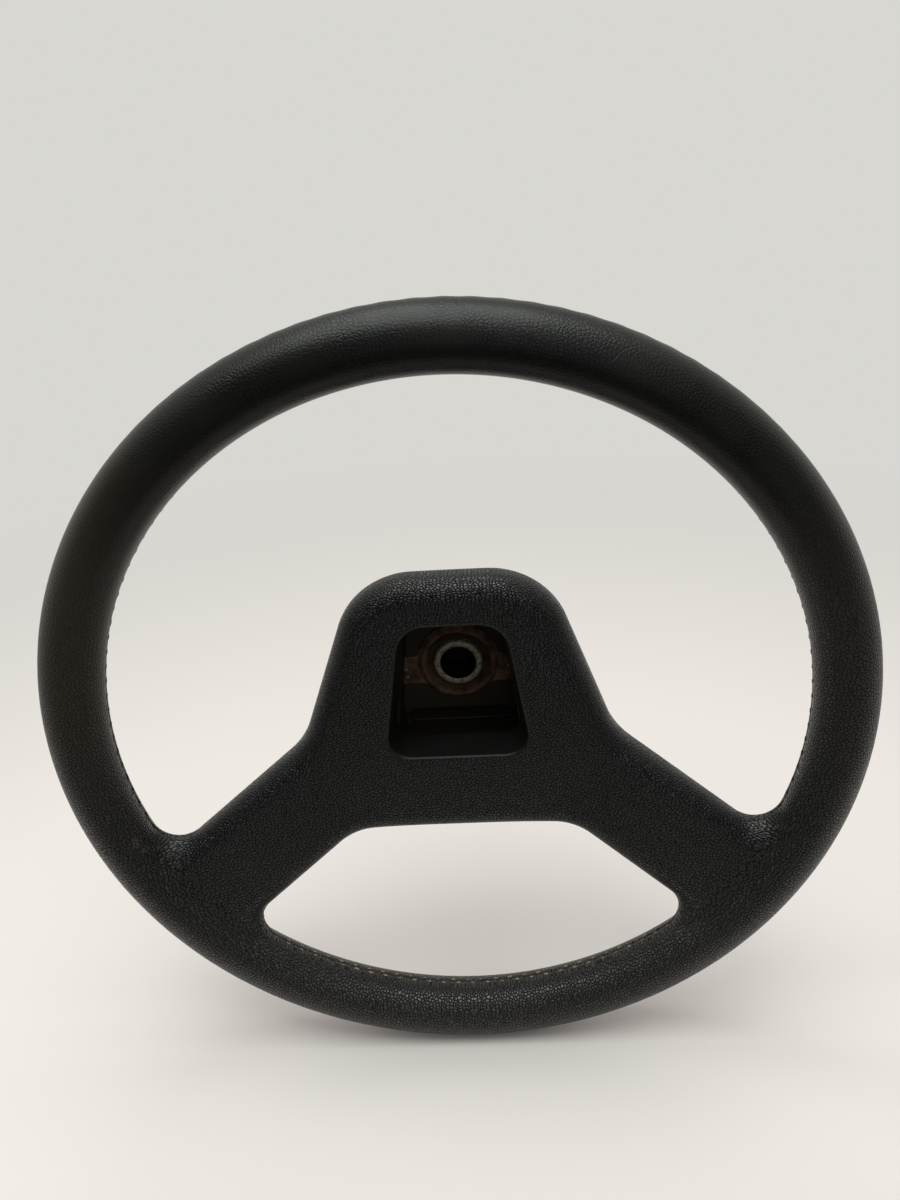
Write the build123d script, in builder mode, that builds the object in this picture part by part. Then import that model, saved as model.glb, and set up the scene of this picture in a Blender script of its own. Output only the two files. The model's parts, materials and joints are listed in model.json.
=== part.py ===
from build123d import *
from math import cos, hypot, radians, sin, tan
import os

# Car steering wheel: a one-shot foam moulding over a welded steel armature.
# Frame: origin on the column axis at the nut seat, the front face of the bush.
# +X is the driver's right, +Y runs down the column away from the driver, +Z is up.
# All lengths are millimetres and all angles degrees.

# Rim
wheel_diameter = 380  # across the outside of the rim
rim_section = 29  # diameter of the round rim section
rim_stand_off = 61  # mid-plane of the rim ahead of the nut seat

# Web: the centre pad and the two spokes, one dished plate
pad_stand_off = 53  # flat face of the pad ahead of the nut seat
web_thickness = 22  # at the pad
pad_flat_radius = 72  # beyond this the web leans forward to the rim
spoke_set_back = 6  # spoke face behind the foremost line of the rim
spoke_end_thickness = 20  # at the rim
dish_blend_radius = 120  # between the flat pad and the leaning spokes

# Outline of the web as the driver sees it
pad_top = 69  # above the column axis
pad_bottom = 66.3  # below the column axis
pad_half_width = 69.4  # at the height of the column axis
pad_side_lean = 20.8  # of the pad sides from the vertical
spoke_top_height = 42  # where the upper spoke edges would cross above the axis
spoke_top_slope = 37.4  # of the upper spoke edge below the horizontal
spoke_under_height = -23  # where the lower spoke edges would cross below the axis
spoke_under_slope = 38.5  # of the lower spoke edge below the horizontal
pad_corner_radius = 38  # upper corners of the pad
waist_radius = 36  # pad side into upper spoke edge
under_radius = 27  # pad bottom into lower spoke edge
front_round = 10  # front edges of pad and spokes
rear_round = 9  # rear edges of pad and spokes
rim_blend_radius = 15  # all round each spoke where it runs into the rim

# Housing behind the pad and the collar at its rear end
housing_length = 44  # from the back of the pad to the flat rear end
housing_root_top = 56  # upper edge in the middle of the web, above the axis
housing_root_bottom = 54  # lower edge in the middle of the web, below the axis
housing_root_top_half = 41  # half width of the upper edge in the middle of the web
housing_root_bottom_half = 64  # half width of the lower edge in the middle of the web
housing_end_top = 42
housing_end_bottom = 44
housing_end_top_half = 38
housing_end_bottom_half = 52
housing_corner_radius = 18
housing_end_round = 8
housing_root_blend = 4
collar_diameter = 54
collar_length = 5
collar_round = 2
collar_recess_diameter = 40
collar_recess_depth = 6

# Window in the pad and the chamber behind it
window_top = 47.1  # above the axis, at the pad face
window_bottom = 22.1  # below the axis, at the pad face
window_top_half = 23.5  # half width of the upper edge
window_bottom_half = 35  # half width of the lower edge
window_top_radius = 14
window_bottom_radius = 11
window_depth = 18  # of the window wall
window_draft = 8  # the wall closes in by this angle
window_edge_round = 1.2
chamber_bottom = 38  # below the axis, undercut behind the window wall
chamber_bottom_half = 31.5  # half width of the lower edge
chamber_corner_radius = 6
floor_top = 34  # upper edge of the chamber floor, above the axis
floor_top_half = 25  # half width of that edge
floor_lead = 1.5  # the foam floor stands this far up the edge of the wings
slot_top = 29  # upper edge of the clip slot in the chamber floor, below the axis
slot_half_width = 27
slot_depth = 4
slot_corner_radius = 3

# Splined bush
bush_diameter = 25.5
bush_length = 20
bore_diameter = 17.4  # over the tips of the fine splines
bush_chamfer = 0.8

# Hub plate: a pressed dish with a wing each side
plate_thickness = 3
wing_set_back = 2  # front face of the wings behind the nut seat
dish_set_back = 4  # front face of the dish floor behind the nut seat
crest_lead = 1.4  # corner of the dish ring ahead of the nut seat, before it is rounded
dish_floor_diameter = 30.2
dish_outer_diameter = 43
dish_bend_radius = 1.5
wing_span = 66  # tip to tip
wing_height = 16
wing_drop = 4.5  # middle of the wings below the axis
wing_corner_radius = 3

# Steel ring in the rim
ring_bar_diameter = 12

# Arms: bent steel strips from the wings to the ring
strip_width = 14
strip_thickness = 4
arm_clearance = 2.5  # end of the strip outside the brim of the dish, along the spoke
arm_rise = 42  # first bend, along the spoke
arm_level = 57  # second bend, along the spoke
arm_bend_radius = 9
arm_cover = 9.5  # foam ahead of the middle of the strip at the second bend

# Values that follow from the driving dimensions
rim_radius = (wheel_diameter - rim_section) / 2
rim_plane = -rim_stand_off
pad_face = -pad_stand_off
pad_back = pad_face + web_thickness
spoke_end_face = rim_plane - rim_section / 2 + spoke_set_back
housing_end = pad_back + housing_length
collar_end = housing_end + collar_length
wing_back = wing_set_back + plate_thickness
dish_crest_diameter = (dish_floor_diameter + dish_outer_diameter) / 2
arm_start = dish_outer_diameter / 2 + arm_clearance
chamber_front = pad_face + window_depth
chamber_floor = wing_back - floor_lead
side_run = tan(radians(pad_side_lean))
top_fall = tan(radians(spoke_top_slope))
under_fall = tan(radians(spoke_under_slope))
spoke_slope = (spoke_top_slope + spoke_under_slope) / 2
spoke_middle_height = (spoke_top_height + spoke_under_height) / 2
waist_x = (pad_half_width - spoke_top_height * side_run) / (1 - top_fall * side_run)
under_x = (pad_bottom + spoke_under_height) / under_fall


def trapezoid(plane, top, bottom, top_half, bottom_half, top_radius, bottom_radius):
    """Return a rounded trapezoid on a plane, wider at its lower edge."""
    with BuildSketch(plane) as section:
        with BuildLine():
            FilletPolyline(
                (-top_half, top),
                (top_half, top),
                (bottom_half, -bottom),
                (-bottom_half, -bottom),
                radius=[top_radius, top_radius, bottom_radius, bottom_radius],
                close=True,
            )
        make_face()
    return section.sketch


def dish_line(set_back):
    """Return one side of the dish section, from the bush over the crest to the brim."""
    return FilletPolyline(
        (bush_diameter / 2, dish_set_back + set_back),
        (dish_floor_diameter / 2, dish_set_back + set_back),
        (dish_crest_diameter / 2, set_back - crest_lead),
        (dish_outer_diameter / 2, wing_set_back + set_back),
        radius=dish_bend_radius,
    )


def side_walls(web_part):
    """Return the walls of the web that follow its outline, without its ends in the rim."""
    return web_part.faces().filter_by(
        lambda face: abs(face.normal_at().Y) < 0.01
        and hypot(face.center().X, face.center().Z) < rim_radius - rim_section / 4
    )


os.makedirs("parts", exist_ok=True)

# Splined bush, with a flat nut seat in front and a chamfered lead-in at the rear
with BuildPart() as splined_bush:
    with BuildSketch(Plane.XZ):
        Circle(bush_diameter / 2)
        Circle(bore_diameter / 2, mode=Mode.SUBTRACT)
    extrude(amount=-bush_length)
    rings = splined_bush.edges().filter_by(GeomType.CIRCLE)
    rear_bore_edge = rings.group_by(Axis.Y)[-1].sort_by(SortBy.RADIUS)[0]
    chamfer([*rings.group_by(SortBy.RADIUS)[-1], rear_bore_edge], bush_chamfer)
splined_bush.part.label = "splined_bush"
export_step(splined_bush.part, "parts/splined_bush.step")

# Hub plate: the dish is one section of sheet turned about the axis, the wings are flat
with BuildPart() as hub_plate:
    with BuildSketch(Plane.XZ.offset(-wing_set_back)):
        with Locations((0, -wing_drop)):
            RectangleRounded(wing_span, wing_height, wing_corner_radius)
        Circle((dish_crest_diameter + dish_outer_diameter) / 4, mode=Mode.SUBTRACT)
    extrude(amount=-plate_thickness)
    with BuildSketch(Plane.XY):
        with BuildLine():
            front = dish_line(0)
            back = dish_line(plate_thickness)
            Line(front @ 0, back @ 0)
            Line(front @ 1, back @ 1)
        make_face()
    revolve(axis=Axis.Y)
hub_plate.part.label = "hub_plate"
export_step(hub_plate.part, "parts/hub_plate.step")

# Steel ring in the middle of the rim section
with BuildPart() as rim_ring:
    with BuildSketch(Plane.XY):
        with Locations((rim_radius, rim_plane)):
            Circle(ring_bar_diameter / 2)
    revolve(axis=Axis.Y)
rim_ring.part.label = "rim_ring"
export_step(rim_ring.part, "parts/rim_ring.step")

# Arms: each strip lies on the back of its wing, rises forward through the housing and
# runs along the middle of its spoke to the ring, where its end is cut to the bar
spoke_direction = Vector(cos(radians(spoke_slope)), 0, -sin(radians(spoke_slope)))
spoke_normal = Vector(sin(radians(spoke_slope)), 0, cos(radians(spoke_slope)))
arm_plane = Plane(
    origin=spoke_normal * spoke_middle_height * cos(radians(spoke_slope)),
    x_dir=spoke_direction,
    z_dir=spoke_normal,
)
with BuildPart() as right_arm:
    with BuildSketch(arm_plane):
        with BuildLine():
            FilletPolyline(
                (arm_start, wing_back + strip_thickness / 2),
                (arm_rise, wing_back + strip_thickness / 2),
                (arm_level, pad_face + arm_cover),
                (rim_radius, rim_plane),
                radius=arm_bend_radius,
            )
        trace(line_width=strip_thickness)
    extrude(amount=strip_width / 2, both=True)
    add(rim_ring.part, mode=Mode.SUBTRACT)
    add(splined_bush.part, mode=Mode.SUBTRACT)
right_arm.part.label = "right_arm"
export_step(right_arm.part, "parts/right_arm.step")

with BuildPart() as left_arm:
    add(mirror(right_arm.part, about=Plane.YZ))
left_arm.part.label = "left_arm"
export_step(left_arm.part, "parts/left_arm.step")

# Web of the moulding: the outline of pad and spokes, cut from a dished disc
with BuildPart() as web:
    with BuildSketch(Plane.XZ):
        with BuildLine():
            FilletPolyline(
                (0, pad_top),
                (pad_half_width - pad_top * side_run, pad_top),
                (waist_x, spoke_top_height - top_fall * waist_x),
                (rim_radius, spoke_top_height - top_fall * rim_radius),
                (rim_radius, spoke_under_height - under_fall * rim_radius),
                (under_x, -pad_bottom),
                (0, -pad_bottom),
                radius=[pad_corner_radius, waist_radius, 0, 0, under_radius],
            )
            mirror(about=Plane.YZ)
        make_face()
    extrude(amount=rim_stand_off + rim_section)
    with BuildSketch(Plane.XY):
        with BuildLine():
            FilletPolyline(
                (0, pad_face),
                (pad_flat_radius, pad_face),
                (rim_radius, spoke_end_face),
                (rim_radius, spoke_end_face + spoke_end_thickness),
                (pad_flat_radius, pad_back),
                (0, pad_back),
                radius=[dish_blend_radius, 0, 0, dish_blend_radius],
            )
            Line((0, pad_back), (0, pad_face))
        make_face()
    revolve(axis=Axis.Y, mode=Mode.INTERSECT)
    front_edges = [
        wall.edges().filter_by(Axis.Y, reverse=True).sort_by(Axis.Y)[0] for wall in side_walls(web)
    ]
    fillet(front_edges, front_round)
    rear_edges = [
        wall.edges().filter_by(Axis.Y, reverse=True).sort_by(Axis.Y)[-1] for wall in side_walls(web)
    ]
    fillet(rear_edges, rear_round)

# Housing behind the pad, a tapered box with rounded corners that ends in a collar
housing_root = trapezoid(
    Plane.XZ.offset(-pad_back + web_thickness / 2),
    housing_root_top,
    housing_root_bottom,
    housing_root_top_half,
    housing_root_bottom_half,
    housing_corner_radius,
    housing_corner_radius,
)
housing_tip = trapezoid(
    Plane.XZ.offset(-housing_end),
    housing_end_top,
    housing_end_bottom,
    housing_end_top_half,
    housing_end_bottom_half,
    housing_corner_radius,
    housing_corner_radius,
)
with BuildPart() as housing:
    loft([housing_root.face(), housing_tip.face()], ruled=True)
    fillet(housing.faces().sort_by(Axis.Y)[-1].edges(), housing_end_round)
    with BuildSketch(Plane.XZ.offset(-housing_end)):
        Circle(collar_diameter / 2)
    extrude(amount=-collar_length)
    fillet(housing.faces().sort_by(Axis.Y)[-1].edges(), collar_round)

# Hollow of the pad and housing: window, chamber behind it and clip slot in its floor
window_mouth = trapezoid(
    Plane.XZ.offset(-pad_face),
    window_top,
    window_bottom,
    window_top_half,
    window_bottom_half,
    window_top_radius,
    window_bottom_radius,
)
chamber_mouth = trapezoid(
    Plane.XZ.offset(-chamber_front),
    window_top - window_depth * tan(radians(window_draft)),
    chamber_bottom,
    window_top_half,
    chamber_bottom_half,
    window_top_radius,
    chamber_corner_radius,
)
chamber_end = trapezoid(
    Plane.XZ.offset(-chamber_floor),
    floor_top,
    chamber_bottom,
    floor_top_half,
    chamber_bottom_half,
    window_top_radius,
    chamber_corner_radius,
)
with BuildPart() as hollow:
    extrude(window_mouth.face(), amount=-window_depth, taper=window_draft)
    loft([chamber_mouth.face(), chamber_end.face()], ruled=True)
    with BuildSketch(Plane.XZ.offset(-chamber_floor)):
        with Locations((0, -(slot_top + chamber_bottom) / 2)):
            RectangleRounded(2 * slot_half_width, chamber_bottom - slot_top, slot_corner_radius)
    extrude(amount=-slot_depth)
    with BuildSketch(Plane.XZ.offset(-chamber_floor)):
        Circle(dish_crest_diameter / 2)
    extrude(amount=chamber_floor - dish_set_back)
    with BuildSketch(Plane.XZ.offset(-chamber_floor)):
        Circle(bush_diameter / 2)
    extrude(amount=chamber_floor - bush_length)

# Foam moulding: rim, web and housing in one, hollowed and moulded round the armature
with BuildPart() as foam_moulding:
    with BuildSketch(Plane.XY):
        with Locations((rim_radius, rim_plane)):
            Circle(rim_section / 2)
    revolve(axis=Axis.Y)
    add(web.part)
    rim_face = foam_moulding.faces().filter_by(GeomType.TORUS).sort_by(SortBy.AREA)[-1]
    spoke_roots = rim_face.edges().filter_by(
        lambda edge: hypot(edge.center().X, edge.center().Z) < rim_radius
        and edge.center().Z < -rim_section
    )
    fillet(spoke_roots, rim_blend_radius)
    add(housing.part)
    housing_edges = foam_moulding.edges(Select.NEW)
    root_edges = housing_edges.filter_by_position(Axis.Y, rim_plane, pad_back + housing_length / 4)
    fillet(root_edges, housing_root_blend)
    with BuildSketch(Plane.XZ.offset(-collar_end)):
        Circle(collar_recess_diameter / 2)
    extrude(amount=collar_recess_depth, mode=Mode.SUBTRACT)
    add(hollow.part, mode=Mode.SUBTRACT)
    pad_front = foam_moulding.faces().filter_by(Axis.Y).sort_by(Axis.Y)[0]
    fillet(pad_front.inner_wires()[0].edges(), window_edge_round)
    for steel in (rim_ring, right_arm, left_arm, hub_plate):
        add(steel.part, mode=Mode.SUBTRACT)
foam_moulding.part.label = "foam_moulding"
export_step(foam_moulding.part, "parts/foam_moulding.step")
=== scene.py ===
import json
import math
from functools import partial

import bmesh
import bpy
import numpy as np
from bpy.props import FloatProperty, FloatVectorProperty, IntProperty, PointerProperty
from mathutils import Euler, Matrix, Vector


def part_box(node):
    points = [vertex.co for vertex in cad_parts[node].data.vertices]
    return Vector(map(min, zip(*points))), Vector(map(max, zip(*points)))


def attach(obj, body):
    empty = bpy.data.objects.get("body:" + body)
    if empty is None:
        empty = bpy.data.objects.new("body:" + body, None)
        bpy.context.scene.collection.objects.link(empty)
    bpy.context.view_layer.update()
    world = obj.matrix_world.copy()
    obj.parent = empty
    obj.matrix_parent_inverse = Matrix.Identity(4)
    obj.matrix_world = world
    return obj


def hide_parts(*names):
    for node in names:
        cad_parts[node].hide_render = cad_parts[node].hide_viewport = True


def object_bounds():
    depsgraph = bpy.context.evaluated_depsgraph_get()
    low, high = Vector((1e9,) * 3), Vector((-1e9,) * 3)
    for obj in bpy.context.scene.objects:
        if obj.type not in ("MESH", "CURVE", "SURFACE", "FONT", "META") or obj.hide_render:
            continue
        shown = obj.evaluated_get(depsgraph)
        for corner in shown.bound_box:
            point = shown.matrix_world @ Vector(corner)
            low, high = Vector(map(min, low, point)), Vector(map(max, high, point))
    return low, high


bl_info = {
    "name": "Car Steering Wheel",
    "version": (1, 0, 0),
    "blender": (4, 5, 0),
    "location": "View3D > Sidebar > Steering Wheel",
    "description": "Grained foam skin, moulded seam and rusty hub of a used car steering wheel",
    "category": "Object",
}

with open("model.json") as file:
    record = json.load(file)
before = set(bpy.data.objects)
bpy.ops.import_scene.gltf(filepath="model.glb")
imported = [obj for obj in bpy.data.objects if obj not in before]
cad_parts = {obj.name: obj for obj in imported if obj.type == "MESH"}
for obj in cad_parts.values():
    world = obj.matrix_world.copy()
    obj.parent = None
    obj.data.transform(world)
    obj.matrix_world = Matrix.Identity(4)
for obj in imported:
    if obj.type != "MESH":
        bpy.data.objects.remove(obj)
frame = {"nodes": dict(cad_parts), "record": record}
CAD_BOX = [list(corner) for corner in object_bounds()]

# Lengths are metres, in the frame of the solids: the origin on the column axis at the nut
# seat, +X to the driver's right, +Y down the column and +Z up
MM = 0.001

# Read from the solids
RING_LOW, RING_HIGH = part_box("rim_ring")
FOAM_LOW, FOAM_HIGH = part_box("foam_moulding")
BUSH_LOW, BUSH_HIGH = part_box("splined_bush")
PLATE_LOW, PLATE_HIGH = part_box("hub_plate")
RIM_RADIUS = RING_HIGH.x - (RING_HIGH.y - RING_LOW.y) / 2
RIM_PLANE = (RING_LOW.y + RING_HIGH.y) / 2
RIM_HALF = FOAM_HIGH.x - RIM_RADIUS
BUSH_RADIUS = BUSH_HIGH.x
BORE_MOUNT = next(m for m in frame["record"]["mounts"] if m["name"] == "column_bore")
BORE_RADIUS = BORE_MOUNT["dims"]["r_mm"] * MM

# Web of pad and spokes
PAD_FACE = -53 * MM
PAD_BACK = -31 * MM
PAD_FLAT_RADIUS = 72 * MM
SPOKE_END_FACE = RIM_PLANE - RIM_HALF + 6 * MM
SPOKE_END_THICKNESS = 20 * MM
DISH_BLEND = 120 * MM
PAD_TOP = 69 * MM
PAD_BOTTOM = 66.3 * MM
PAD_HALF_WIDTH = 69.4 * MM
PAD_SIDE_LEAN = math.radians(20.8)
SPOKE_TOP_HEIGHT = 42 * MM
SPOKE_TOP_SLOPE = math.radians(37.4)
SPOKE_UNDER_HEIGHT = -23 * MM
SPOKE_UNDER_SLOPE = math.radians(38.5)
PAD_CORNER = 38 * MM
WAIST_ROUND = 36 * MM
UNDER_ROUND = 27 * MM
FRONT_ROUND = 10 * MM
REAR_ROUND = 9 * MM
WEB_END_ROUND = 8 * MM
RIM_BLEND = 15 * MM

# Housing behind the pad, sizes at its root in the middle of the web and at its end
HOUSING_ROOT = (PAD_FACE + PAD_BACK) / 2
HOUSING_END = 13 * MM
HOUSING_TOP = (56 * MM, 42 * MM)
HOUSING_BOTTOM = (54 * MM, 44 * MM)
HOUSING_TOP_HALF = (41 * MM, 38 * MM)
HOUSING_BOTTOM_HALF = (64 * MM, 52 * MM)
HOUSING_CORNER = 18 * MM
HOUSING_END_ROUND = 8 * MM
HOUSING_ROOT_BLEND = 4 * MM
HOUSING_DRAFT = math.radians(12)
COLLAR_RADIUS = 27 * MM
COLLAR_END = 18 * MM
COLLAR_ROUND = 2 * MM
RECESS_RADIUS = 20 * MM
RECESS_FLOOR = 12 * MM

# Window in the pad, the chamber behind it and the clip slot in the chamber floor
WINDOW_TOP = 47.1 * MM
WINDOW_BOTTOM = 22.1 * MM
WINDOW_TOP_HALF = 23.5 * MM
WINDOW_BOTTOM_HALF = 35 * MM
WINDOW_TOP_ROUND = 14 * MM
WINDOW_BOTTOM_ROUND = 11 * MM
WINDOW_DRAFT = math.radians(8)
WINDOW_EDGE = 1.2 * MM
CHAMBER_FRONT = PAD_FACE + 18 * MM
CHAMBER_FLOOR = 3.5 * MM
CHAMBER_BOTTOM = 38 * MM
CHAMBER_BOTTOM_HALF = 31.5 * MM
CHAMBER_CORNER = 6 * MM
FLOOR_TOP = 34 * MM
FLOOR_TOP_HALF = 25 * MM
FLOOR_EDGE = 1.5 * MM
SLOT_TOP = -29 * MM
SLOT_HALF_WIDTH = 27 * MM
SLOT_DEPTH = 4 * MM
SLOT_CORNER = 3 * MM
SLOT_EDGE = 0.8 * MM

# Hub plate
PLATE_THICKNESS = 3 * MM
WING_FRONT = 2 * MM
DISH_FRONT = 4 * MM
CREST_FRONT = PLATE_LOW.y
DISH_FLOOR_RADIUS = 14.4 * MM
CREST_RADIUS = 18.3 * MM
BRIM_RADIUS = PLATE_HIGH.z
WING_HALF_SPAN = PLATE_HIGH.x
WING_TOP = 3.5 * MM
WING_BOTTOM = 12.5 * MM
WING_CORNER = 3 * MM
WING_FILLET = 2 * MM
PLATE_EDGE = 0.7 * MM
PLATE_STEP = 0.5 * MM

# Finger ridges: angles round the rim section, from its outermost line towards the rear, at
# which they start and are full, at their front and at their rear end; and the angle about
# the column axis over which the row fades out
RIDGE_FRONT = (math.radians(-12), math.radians(45))
RIDGE_REAR = (math.radians(150), math.radians(105))
RIDGE_FADE = math.radians(4)

# Meshes: cosine between the faces of rim and web before it is measured, its bounds, the turn
# of the surface past which an edge is halved, and the sides of a circle
MEAN_CREASE = 0.6
CREASE_BOUNDS = (-0.3, 0.9)
EDGE_TURN = math.radians(25)
CIRCLE_SIDES = 96

# Maps on which the grain of the skin lies: web and housing unfolded about their faces, and
# the rim unrolled
GRAIN_MAPS = ("web_grain", "rim_grain")

# Wear and dust on the rim begin and are full at these heights, at these drops below the axis
# and at these distances from it
WEAR_HEIGHTS = (20 * MM, 130 * MM)
WEAR_RADII = (150 * MM, 165 * MM)
DUST_DROPS = (60 * MM, 150 * MM)
DUST_RADII = (155 * MM, 160 * MM)
STITCH_DUST_HEIGHTS = (-100 * MM, -150 * MM)
RIM_DUST = 0.06
SEAM_DUST = 0.2

# Film of pale dirt inside the pad, which is also painted light in the shaded chamber: most on the
# chamber floor, less on the chamber and slot walls, least on the window walls that get light; and
# how much of the film takes the shine off the skin
FLOOR_DIRT_AND_PAINTED_LIGHT = 0.26
CHAMBER_DIRT_AND_PAINTED_LIGHT = 0.1
WINDOW_DIRT_AND_PAINTED_LIGHT = 0.01
DULL_FILM = 0.25

# Where hands held the rim: angle from its top, spread in degrees and amount of dirt
HAND_HOLDS = ((-72, 26, 0.22), (74, 26, 0.09), (180, 40, 0.03), (-180, 40, 0.03))

# Scuffs on the rim: angle from its top, clockwise for the driver, and angle round its
# section in degrees; then radius and amount of dust
RIM_SCUFFS = (
    (-108.1, -47.9, 4.0 * MM, 0.4),
    (-103.8, -37.3, 1.8 * MM, 0.3),
    (-110.1, -38.0, 3.0 * MM, 0.4),
    (137.9, -38.1, 16.0 * MM, 0.12),
    (148.4, -35.4, 14.0 * MM, 0.09),
)
# Smudge on the pad: place, radius and amount of dust
PAD_SMUDGE = ((-39.9 * MM, PAD_FACE, -52.6 * MM), 3.5 * MM, 0.1)

# Short knife cut on the upper right of the rim, from one end to the other
CUT_START = Vector((67.4 * MM, -75.2 * MM, 165.4 * MM))
CUT_END = Vector((73.2 * MM, -72.4 * MM, 169.3 * MM))
CUT_HALF_WIDTH = 0.28 * MM

# Rubbed bright spots on the front of the wings: place across and up, and radius
BARE_SPOTS = (
    (-27.6 * MM, -4.0 * MM, 1.0 * MM),
    (-26.9 * MM, -8.2 * MM, 0.8 * MM),
    (25.7 * MM, -3.6 * MM, 0.8 * MM),
)
# Share by which the floor of the dish round the bush is darkened
DISH_DARKENING = 0.75

# Seeds of the random draws
STITCH_SEED = 7
SPATTER_SEED = 5

# Stage: the floor fades out from this distance, and ahead of the wheel between two depths;
# the surroundings brighten over these heights and depths of the view direction
FLOOR_FADE_START = 0.26
FLOOR_FRONT_FADE = (-0.13, -0.28)
CEILING_RISE = (0.35, 0.75)
FRONT_TO_BACK = (-0.4, 0.3)


def linear(hex_colour):
    """Turn an sRGB hex colour into linear red, green and blue."""
    channels = [int(hex_colour[i : i + 2], 16) / 255 for i in (1, 3, 5)]
    return tuple(c / 12.92 if c <= 0.04045 else ((c + 0.055) / 1.055) ** 2.4 for c in channels)


Length = partial(FloatProperty, unit="LENGTH")
Angle = partial(FloatProperty, subtype="ANGLE")
Colour = partial(FloatVectorProperty, subtype="COLOR")
Place = partial(FloatVectorProperty, subtype="TRANSLATION")


class RimSettings(bpy.types.PropertyGroup):
    """Sizes of the moulded seam and the finger ridges of the rim."""

    seam_angle: Angle(
        name="Seam Angle",
        description="Seam behind the innermost line of the rim section",
        default=math.radians(13),
    )
    seam_width: Length(
        name="Seam Width", description="Width of the groove of the seam", default=1.6 * MM
    )
    seam_depth: Length(
        name="Seam Depth", description="Depth of the groove of the seam", default=0.7 * MM
    )
    row_gap: Length(
        name="Stitch Row Gap", description="Distance between the two rows", default=2.8 * MM
    )
    stitch_pitch: Length(
        name="Stitch Pitch", description="Distance between stitches of one row", default=7.6 * MM
    )
    stitch_size: FloatVectorProperty(
        name="Stitch Size",
        description="Length, width and height of one moulded stitch",
        default=(2.4 * MM, 1.1 * MM, 0.4 * MM),
        unit="LENGTH",
    )
    ridge_pitch: Angle(
        name="Finger Ridge Pitch",
        description="Angle between two finger ridges, about the column axis",
        default=math.radians(3.4),
    )
    ridge_depth: Length(
        name="Finger Ridge Depth",
        description="Depth of the hollows between the finger ridges",
        default=1.0 * MM,
    )
    ridge_reach: Angle(
        name="Finger Ridge Reach",
        description="Finger ridges each side of the top, about the column axis",
        default=math.radians(52),
    )


class SkinSettings(bpy.types.PropertyGroup):
    """Mesh step, grain and colours of the foam skin."""

    mesh_step: Length(
        name="Mesh Step",
        description="Side of a face of the skin before its edges are refined",
        default=1.8 * MM,
    )
    grain_size: Length(
        name="Grain Size", description="Width of one pebble of the grain", default=1.65 * MM
    )
    grain_depth: Length(
        name="Grain Depth",
        description="Height of the pebbles over the creases between them",
        default=0.17 * MM,
    )
    skin_colour: Colour(
        name="Skin Colour", description="Black foam skin", default=linear("#0b0c0c")
    )
    worn_colour: Colour(
        name="Worn Colour", description="Skin that hands have rubbed", default=linear("#1c1c1a")
    )
    # Inside the pad this pale colour is also painted light in the shaded chamber
    dust_colour: Colour(
        name="Dust Colour",
        description="Dust and dirt on the rim, in the seam, on scuffs and inside the pad",
        default=linear("#756b5a"),
    )
    stitch_colour: Colour(
        name="Stitch Dust Colour",
        description="Pale dust on the stitches at the bottom of the rim",
        default=linear("#95886f"),
    )


class HubSettings(bpy.types.PropertyGroup):
    """Spline, weld spatter and colours of the hub."""

    tooth_count: IntProperty(
        name="Spline Teeth", description="Teeth of the fine spline in the bore", default=48
    )
    tooth_height: Length(
        name="Tooth Height", description="Height of the spline teeth", default=0.5 * MM
    )
    spatter_count: IntProperty(
        name="Weld Spatter", description="Drops of weld spatter on the hub plate", default=26
    )
    spatter_radius: Length(
        name="Spatter Radius", description="Radius of the largest drop", default=0.7 * MM
    )
    rust_dark: Colour(name="Dark Rust", description="Old hard rust", default=linear("#4d3c2f"))
    rust_bright: Colour(
        name="Bright Rust", description="Fresh powdery rust", default=linear("#8a6850")
    )
    # Dark colour of the bore, grease with painted shade, and of the darker floor of the dish; the
    # thin colour lightens the bore's painted shade in patches
    bore_and_dish_dark_colour: Colour(
        name="Old Grease", description="Oil and grease gone dark", default=linear("#1c1814")
    )
    thin_grease_and_shade_colour: Colour(
        name="Thin Grease", description="Grease that rust shows through", default=linear("#3d3128")
    )
    steel_colour: Colour(
        name="Bare Steel", description="Turned and rubbed steel", default=linear("#c4bda9")
    )
    scale_colour: Colour(
        name="Mill Scale", description="Dark skin of rolled steel", default=linear("#3b3a39")
    )


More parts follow.
